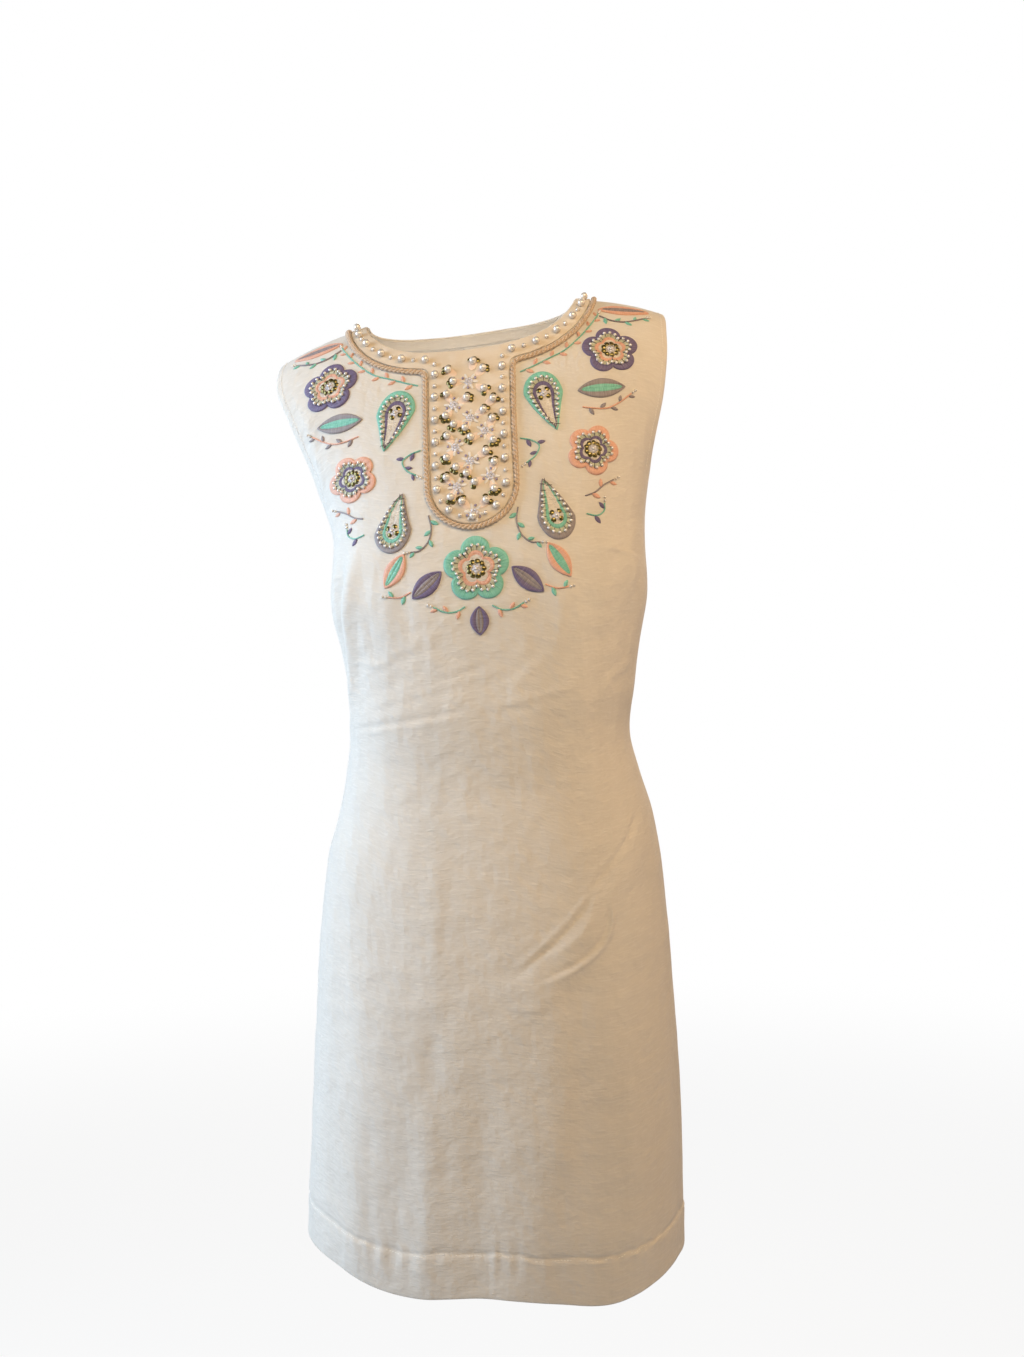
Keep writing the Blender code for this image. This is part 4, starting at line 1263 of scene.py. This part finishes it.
motifs, motif_pieces = [], []
BOTH_SIDES = (("_left", False), ("_right", True))
for table, sides in ((SIDE_MOTIFS, BOTH_SIDES), (CENTRE_MOTIFS, (("", False),))):
    for values in table:
        for suffix, mirrored in sides:
            motif = dict(zip(MOTIF_COLUMNS, values))
            motif["own"] = motif["thread"]
            edge, spine = motif_outline(motif["kind"], motif["length"], motif["width"])
            edge, spine = set_in_place(edge, motif, mirrored), set_in_place(spine, motif, mirrored)
            piece = stitched_pad(motif["name"] + "_stitching" + suffix, motif, edge, spine)
            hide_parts(motif["name"] + suffix)
            motif_pieces.append(piece)
            motifs.append((motif, edge, spine, mirrored))

# ---------------------------------------------------------------- stems, leaflets and seed pearls
# Vines in stem stitch wander between the motifs. Small satin leaflets stand on them to each side in
# turn, and each vine ends in a few seed pearls.
VINE_COLUMNS = ("stem", "leaf", "places")
VINES = (
    (
        "mint",
        "peach",
        ((47, 129), (59, 124), (73, 117), (88, 109), (101, 96), (111, 82), (118, 69), (121, 61)),
    ),
    ("grey", "mint", ((122, 64), (132, 70), (144, 71), (156, 66), (166, 58))),
    ("peach", "grey", ((103, 170), (114, 172), (126, 172), (138, 166), (149, 157))),
    ("grey", "peach", ((101, 254), (110, 251), (118, 245), (128, 240))),
    ("mint", "lilac", ((101, 270), (110, 272), (117, 268), (118, 261))),
    ("mint", "lilac", ((45, 196), (55, 199), (62, 205), (58, 214), (50, 220))),
    ("grey", "mint", ((40, 260), (38, 272), (41, 284), (49, 292), (58, 293))),
    ("mint", "peach", ((12, 346), (20, 350), (30, 350), (40, 345))),
    ("peach", "mint", ((60, 330), (70, 334), (80, 333))),
)
STEM = 0.75
STEM_LIFT = 0.5
LEAFLET = 8.6
LEAFLET_WIDTH = 4.1
LEAFLET_PITCH = 8.5
LEAFLET_SPREAD = math.radians(48)
LEAFLET_PROFILE = ((1.0, 0.1, 0), (0.0, 0.1, 0), (0.05, 0.5, 0), (0.5, 1.1, 0), (1.0, 1.3, 0))
SEED = 1.25
SEED_PITCH = 3.1


def curved(places, step):
    """A smooth line through a few places, as points about one step apart."""
    p = np.asarray(places, float)
    p = np.vstack([2 * p[0] - p[1], p, 2 * p[-1] - p[-2]])
    t = np.linspace(0, 1, 12, endpoint=False)[:, None]
    bends = [
        0.5 * (2 * b + (c - a) * t + (2 * a - 5 * b + 4 * c - d) * t**2 + (3 * b - a - 3 * c + d) * t**3)
        for a, b, c, d in zip(p, p[1:], p[2:], p[3:])
    ]
    return evenly(np.vstack([*bends, p[-2:-1]]), step)


STEM_THREAD = {
    "mint": threaded("mint_stem_thread", TWISTED_THREAD, (92, 168, 144), (150, 214, 194), rough=0.45),
    "grey": threaded("grey_stem_thread", TWISTED_THREAD, (112, 102, 104), (166, 156, 156), rough=0.45),
    "peach": threaded("peach_stem_thread", TWISTED_THREAD, (216, 146, 116), (246, 198, 172), rough=0.45),
}
stems, leaflets, seeds = {}, {}, []
for values in VINES:
    vine = dict(zip(VINE_COLUMNS, values))
    for mirror in ((1, 1), (-1, 1)):
        line = curved(vine["places"], 1.5) * mirror
        stems.setdefault(vine["stem"], []).append(tube(*on_front(line, STEM_LIFT), STEM, sides=6))
        long = line_length(line)
        count = max(int(long / LEAFLET_PITCH), 2)
        for k in range(count):
            at = along_line(line, [(k + 0.6) / count, (k + 0.6) / count + 0.02])
            aim = math.atan2(at[1, 1] - at[0, 1], at[1, 0] - at[0, 0])
            aim += LEAFLET_SPREAD * (-1) ** k * mirror[0]
            size = 1.0 - 0.25 * k / count
            edge, spine = motif_outline("leaf", LEAFLET * size, LEAFLET_WIDTH * size)
            seat = {"turn": -math.degrees(aim), "across": at[0, 0], "down": at[0, 1]}
            edge, spine = set_in_place(edge, seat, False), set_in_place(spine, seat, False)
            leaflets.setdefault(vine["leaf"], []).append(pad(edge, spine, LEAFLET_PROFILE))
        tip = line[-1] - line[-2]
        seeds += [line[-1] + tip / np.linalg.norm(tip) * SEED_PITCH * (k + 0.7) for k in range(2)]
sprigs = []
for kind, made, threads in (("stems_", stems, STEM_THREAD), ("leaflets_", leaflets, FLOSS)):
    for name, parts in made.items():
        sprigs.append(joined(kind + name, parts, threads[name]))

# ---------------------------------------------------------------- beads and stitches on the motifs
# Small round pearls follow the seam between each motif's outer band and its cream one, which is
# crossed by single charcoal stitches. The middles carry sequin flowers on a ground of knots.
BEAD = 1.6
BEAD_PITCH = 5.3
SPOKE_PITCH = 6.0
SEQUIN = 2.5
RING = 7.3
KNOT_PITCH = 2.4
SEQUINS_ROUND = {"paisley": (4, 0.6), "flower": (9, 0.0)}
KNOT_STRAY = 0.7
STONE_RING = 2.6
STONES_ROUND = 5


def glossy(name, base, rim, rough, metal=0.0, coat=0.0):
    """A bead or sequin: one colour face on, and painted rim shade towards its edge, speckled by noise."""
    finish = {"Roughness": rough, "Metallic": metal, "Coat Weight": coat, "Coat Roughness": 0.08}
    material, tree = new_material(name, finish)
    facing = put(tree, "LayerWeight", Blend=0.4).outputs["Facing"]
    place = put(tree, "TexCoord").outputs["Object"]
    speck = put(tree, "TexNoise", Vector=place, Scale=160.0, Detail=1.0).outputs["Fac"]
    # painted shade: the colour darkens towards the silhouette, standing in for the dark reflection at a
    # glossy rim
    near = mixed(tree, facing, colour(*base), colour(*rim))
    # noise speckles lift the painted rim shade back to the face colour in places
    rim_shade_speckled = mixed(tree, speck, near, colour(*base))
    tree.links.new(rim_shade_speckled, tree.nodes["Principled BSDF"].inputs["Base Color"])
    return material


# the second colour of each is painted rim shade, not the bead's own colour
PEARL_LUSTRE = glossy("ivory_pearl", (244, 238, 228), (132, 120, 112), 0.18, metal=0.3, coat=0.8)
ANTIQUE_GOLD = glossy("antique_gold_sequin", (132, 120, 70), (62, 54, 30), 0.24, metal=0.85, coat=0.3)
CRYSTAL = glossy("clear_crystal", (226, 222, 228), (150, 142, 156), 0.08, coat=1.0)
LILAC_CRYSTAL = glossy("lilac_crystal", (168, 156, 180), (104, 94, 122), 0.1, coat=1.0)


def ball(radius, detail=2):
    return lambda bm: bmesh.ops.create_icosphere(bm, subdivisions=detail, radius=radius * MM)


def cup(radius, inner, depth, sides=10):
    """The maker of a sequin or a faceted stone: a shallow cut cone."""
    return lambda bm: bmesh.ops.create_cone(
        bm, cap_ends=True, segments=sides, radius1=radius * MM, radius2=inner * MM, depth=depth * MM
    )


def front_seats(places, lift=0.0, aims=None, tip=0.0):
    """Seats for places on the front; aims are directions there, across and down."""
    places = np.asarray(places, float)
    aims = np.tile([1.0, 0.0], (len(places), 1)) if aims is None else np.asarray(aims, float)
    points, outs = on_front(places, lift)
    ahead, _ = on_front(places + 0.5 * aims / np.linalg.norm(aims, axis=1, keepdims=True), lift)
    return seats(points, outs, ahead - points, tip)


def ring(middle, radius, count, start=0.0):
    """Places round a middle, and the way each faces."""
    turns = start + math.tau * np.arange(count) / count
    aims = np.stack([np.cos(turns), np.sin(turns)], axis=-1)
    return np.asarray(middle, float) + radius * aims, aims


random.seed(7)
beads, spokes, knots, gold, stones, hearts = [], [], [], [], [], []
for motif, edge, spine, mirrored in motifs:
    bands = BANDS[motif["kind"]]
    seam = band_line(edge, spine, bands[1][1])
    length = line_length(seam)
    count = int(round(length / BEAD_PITCH))
    seam_shares = (np.arange(count) + 0.5) / count
    if motif["kind"] != "flower":
        seam_shares = seam_shares[(seam_shares > 0.1) & (seam_shares < 0.9)]
    if motif["kind"] != "leaf":
        beads += front_seats(along_line(seam, seam_shares), PAD_LIFT + BEAD * 0.9)
        count = int(round(length / SPOKE_PITCH))
        shares = (np.arange(count) + 0.3) / count
        outer, inner = band_line(edge, spine, bands[1][1] - 0.03), band_line(edge, spine, bands[2][1])
        pair = along_line(np.hstack([outer, inner]), shares)
        aims = pair[:, 2:] - pair[:, :2]
        spokes += front_seats((pair[:, :2] + pair[:, 2:]) / 2, PAD_LIFT + PAD_RISE * 0.9, aims)
        heart = np.zeros((1, 2))
        if motif["kind"] == "paisley":
            heart = paisley_middle(motif["length"], motif["width"], np.array([PAISLEY_WAIST]))
        heart = set_in_place(heart, motif, mirrored)[0]
        ground = band_line(edge, spine, bands[3][1] + 0.06)
        reach = np.linalg.norm(ground - heart, axis=1).min()
        places, aims = ring(heart, min(RING, reach), *SEQUINS_ROUND[motif["kind"]])
        gold += front_seats(places, PAD_LIFT + 0.9, aims, 0.35)
        places, aims = ring(heart, STONE_RING, STONES_ROUND, 0.4)
        stones += front_seats(places, PAD_LIFT + 0.9, aims, 0.3)
        hearts += front_seats([heart], PAD_LIFT + 1.6)
        for share in np.arange(0.97, 0.2, -KNOT_PITCH / max(reach, 6)):
            line = heart + (ground - heart) * share
            count = max(int(line_length(line) / KNOT_PITCH), 1)
            jitter = [[random.uniform(-KNOT_STRAY, KNOT_STRAY) for _ in (0, 1)] for _ in range(count)]
            places = along_line(line, (np.arange(count) + 0.5) / count) + np.array(jitter)
            aims = np.array([[math.cos(k * 2.4), math.sin(k * 2.4)] for k in range(count)])
            knots += front_seats(places, PAD_LIFT + 0.25, aims)

seeds = front_seats(seeds, SEED * 0.9)
sequin, stone = cup(SEQUIN, SEQUIN * 0.5, 0.8), cup(1.7, 0.8, 0.9, sides=8)
spoke, knot = pellet(6.2, 0.8, 0.8), pellet(1.9, 0.9, 0.8)
motif_beads = sewn("motif_bead_pearls", ball(BEAD), beads, PEARL_LUSTRE)
vine_seeds = sewn("vine_seed_pearls", ball(SEED), seeds, PEARL_LUSTRE)
motif_spokes = sewn("motif_spoke_stitches", spoke, spokes, SPOKE_FLOSS)
motif_knots = sewn("motif_ground_knots", knot, knots, FLOSS["ground"])
motif_sequins = sewn("motif_sequins", sequin, gold, ANTIQUE_GOLD)
motif_stones = sewn("motif_crystals", stone, stones, CRYSTAL)
motif_hearts = sewn("motif_middle_pearls", ball(1.5), hearts, PEARL_LUSTRE)

# ---------------------------------------------------------------- pearls and stones of the bib
# Round pearls sit in a row inside the braid, large and small in turn. On the bib each loose pearl
# stands on a pale petal beside antique gold sequins, among small flowers of crystal.
PEARL = 3.5
SMALL_PEARL = 2.0
PEARL_PITCH = 23.0
PEARL_INSET = 6.2
PEARL_SINK = 0.85
PETAL_FLOSS = floss("pale_peach_floss", (240, 208, 184), (252, 232, 214))
WHITE_FLOSS = floss("white_floss", (226, 218, 208), (252, 248, 242))

row = trim_line(-PEARL_INSET)
count = int(round(line_length(row) / PEARL_PITCH))
places = np.concatenate([along_line(row, np.arange(1, count) / count), np.array(BIB_PEARLS, float)])
top = BACKING_LIFT + BACKING_THICK
places = front_seats(places, top + PEARL * PEARL_SINK)
pearls = sewn("bib_pearls", ball(PEARL, 3), places, PEARL_LUSTRE)
places = along_line(row, (np.arange(count) + 0.5) / count)
places = front_seats(places, top + SMALL_PEARL * PEARL_SINK)
small_pearls = sewn("bib_small_pearls", ball(SMALL_PEARL), places, PEARL_LUSTRE)

SEQUIN_OUT = 4.9
CLEAR_OF_PEARL = 4.6
CLEAR_OF_FLOWER = 7.0
CRYSTAL_RING = 3.1
PETAL_RING = 5.9
BEAD_RING = 6.6

random.seed(11)
gold, petals, stones, lilac_stones, white_petals = [], [], [], [], []
flowers, loose = np.array(CRYSTAL_FLOWERS, float), np.array(BIB_PEARLS, float)
sewn_on = np.zeros((0, 2))
for pearl in loose:
    nearest = flowers[np.argmin(np.linalg.norm(flowers - pearl, axis=1))]
    away = (pearl - nearest) / np.linalg.norm(pearl - nearest)
    petals += front_seats([pearl - away * 2.0], top + 0.1, [away])
    turn = math.atan2(away[1], away[0])
    for side in (-1, 0, 1):
        angle = turn + side * random.uniform(0.85, 1.1)
        aim = np.array([math.cos(angle), math.sin(angle)])
        place = pearl + SEQUIN_OUT * aim
        others = [(loose, CLEAR_OF_PEARL), (flowers, CLEAR_OF_FLOWER), (sewn_on, 2 * SEQUIN - 0.8)]
        if all(np.all(np.linalg.norm(other - place, axis=1) > clear) for other, clear in others):
            sewn_on = np.vstack([sewn_on, place])
            gold += front_seats([place], top + 1.0, [aim], 0.4)
for flower in flowers:
    start = random.uniform(0, math.tau)
    places, aims = ring(flower, CRYSTAL_RING, 6, start)
    stones += front_seats(places, top + 0.7, aims, 0.3)
    stones += front_seats([flower], top + 0.7)
    places, aims = ring(flower, PETAL_RING, 6, start + 0.3)
    white_petals += front_seats(places, top + 0.25, aims)
    places, aims = ring(flower, BEAD_RING, 3, start + 0.8)
    lilac_stones += front_seats(places, top + 0.8, aims)
petal, white_petal = pellet(14, 7.5, 0.9, 10, 12), pellet(6.4, 2.8, 0.8, 6, 8)
bib_petals = sewn("bib_petals", petal, petals, PETAL_FLOSS)
white_petals = sewn("bib_white_petals", white_petal, white_petals, WHITE_FLOSS)
bib_sequins = sewn("bib_sequins", sequin, gold, ANTIQUE_GOLD)
bib_crystals = sewn("bib_crystal_flowers", stone, stones, CRYSTAL)
bib_beads = sewn("bib_lilac_beads", ball(1.25), lilac_stones, LILAC_CRYSTAL)
trims = [backing, braid, *motif_pieces, *sprigs, vine_seeds, motif_beads, motif_spokes, motif_knots]
trims += [motif_sequins, motif_stones, motif_hearts, pearls, small_pearls, bib_petals, white_petals]
trims += [bib_sequins, bib_crystals, bib_beads]
flat, area = front_size

# ---------------------------------------------------------------- floor, light and camera
# A plain pale floor that fades into a white room. Cool light comes from the wearer's right, in front
# and a little behind, and warm light from above the camera, from the left and from behind. A faint
# lamp inside the neck stands for the light that the thin cloth lets through.
FLOOR_LEVEL = -1.42
FLOOR_SIZE = 12.0
FLOOR_NEAR = 0.5
FLOOR_FAR = 2.6
FLOOR_GLOW = 0.88

bm = bmesh.new()
lowered = Matrix.Translation((0, 0, FLOOR_LEVEL))
bmesh.ops.create_grid(bm, x_segments=1, y_segments=1, size=FLOOR_SIZE, matrix=lowered)
mesh = mesh_of("floor", bm)
floor = bpy.data.objects.new("floor", mesh)
bpy.context.scene.collection.objects.link(floor)
pale, tree = new_material("pale_floor", {"Base Color": colour(214, 214, 214), "Roughness": 0.7})
lit = tree.nodes["Principled BSDF"]
place = put(tree, "TexCoord").outputs["Object"]
away = put(tree, "VectorMath", {"operation": "LENGTH"}, i0=place).outputs["Value"]
near, far = FLOOR_NEAR - FLOOR_LEVEL, FLOOR_FAR - FLOOR_LEVEL
fade = put(tree, "MapRange", {"interpolation_type": "SMOOTHSTEP"}, i0=away, i1=near, i2=far, i3=FLOOR_GLOW)
seen = maths(tree, "MULTIPLY", fade.outputs[0], put(tree, "LightPath").outputs["Is Camera Ray"])
white = put(tree, "Emission", Color=(1.0, 1.0, 1.0, 1.0), Strength=1.0)
mix = put(tree, "MixShader", i0=seen, i1=lit.outputs[0], i2=white.outputs[0])
tree.links.new(mix.outputs[0], tree.nodes["Material Output"].inputs["Surface"])
mesh.materials.append(pale)
floor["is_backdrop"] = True

DRESS_MIDDLE = (0.0, 0.0, -0.45)


def area_light(name, place, aim, size, power, tint):
    lamp = bpy.data.lights.new(name, "AREA")
    lamp.shape = "RECTANGLE"
    lamp.size, lamp.size_y = size
    lamp.energy = power
    lamp.color = tint
    holder = bpy.data.objects.new(name, lamp)
    holder.location = place
    holder.rotation_euler = (Vector(aim) - Vector(place)).to_track_quat("-Z", "Y").to_euler()
    holder.visible_camera = False
    bpy.context.scene.collection.objects.link(holder)


area_light("window", (-1.5, -0.55, 0.05), DRESS_MIDDLE, (0.9, 1.5), 25.7, (0.65, 0.8, 1.0))
area_light("rim", (-1.3, 0.35, -0.2), DRESS_MIDDLE, (0.6, 1.6), 11.0, (0.64, 0.81, 1.0))
area_light("overhead", (0.35, -1.15, 0.45), DRESS_MIDDLE, (1.2, 0.6), 12.4, (1.0, 0.75, 0.46))
area_light("lamp", (1.3, -0.2, 0.1), DRESS_MIDDLE, (0.8, 1.4), 5.8, (1.0, 0.65, 0.4))
area_light("behind", (0.3, 1.8, 0.6), (0.0, 0.0, -0.4), (1.6, 1.2), 25.0, (1.0, 0.94, 0.86))
area_light("inside", (-0.01, -0.03, -0.13), (-0.01, 0.07, -0.02), (0.1, 0.05), 0.08, (1.0, 0.93, 0.84))

world = bpy.data.worlds.new("soft_room")
bpy.context.scene.world = world
world.use_nodes = True
tree = world.node_tree
room = tree.nodes["Background"]
room.inputs["Color"].default_value = (1.0, 0.93, 0.87, 1.0)
room.inputs["Strength"].default_value = 0.1
seen = put(tree, "Background", Color=(1.0, 1.0, 1.0, 1.0), Strength=1.0)
path = put(tree, "LightPath")
mix = put(tree, "MixShader", i0=path.outputs["Is Camera Ray"], i1=room.outputs[0], i2=seen.outputs[0])
tree.links.new(mix.outputs[0], tree.nodes["World Output"].inputs["Surface"])
bpy.context.scene.view_settings.view_transform = "Standard"

CAMERA_PLACE = (0.051, -1.368, -0.356)
YAW, PITCH, ROLL = (math.radians(a) for a in (1.2, 0.1, 1.1))
SENSOR = 36.0
FOCAL = 1400
IMAGE_HEIGHT = 1357
camera_data = bpy.data.cameras.new("camera")
camera_data.sensor_fit = "VERTICAL"
camera_data.sensor_height = SENSOR
camera_data.lens = SENSOR * FOCAL / IMAGE_HEIGHT
camera_data.clip_start = 0.05
camera = bpy.data.objects.new("camera", camera_data)
turned = Matrix.Rotation(YAW, 3, "Z") @ Matrix.Rotation(PITCH, 3, "X") @ Matrix.Rotation(ROLL, 3, "Y")
turned = turned @ Matrix.Rotation(math.radians(90), 3, "X")
camera.matrix_world = Matrix.Translation(CAMERA_PLACE) @ turned.to_4x4()
bpy.context.scene.collection.objects.link(camera)
bpy.context.scene.camera = camera

size = {"cad": [list(c) for c in cad_box], "visual": [list(c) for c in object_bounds()]}
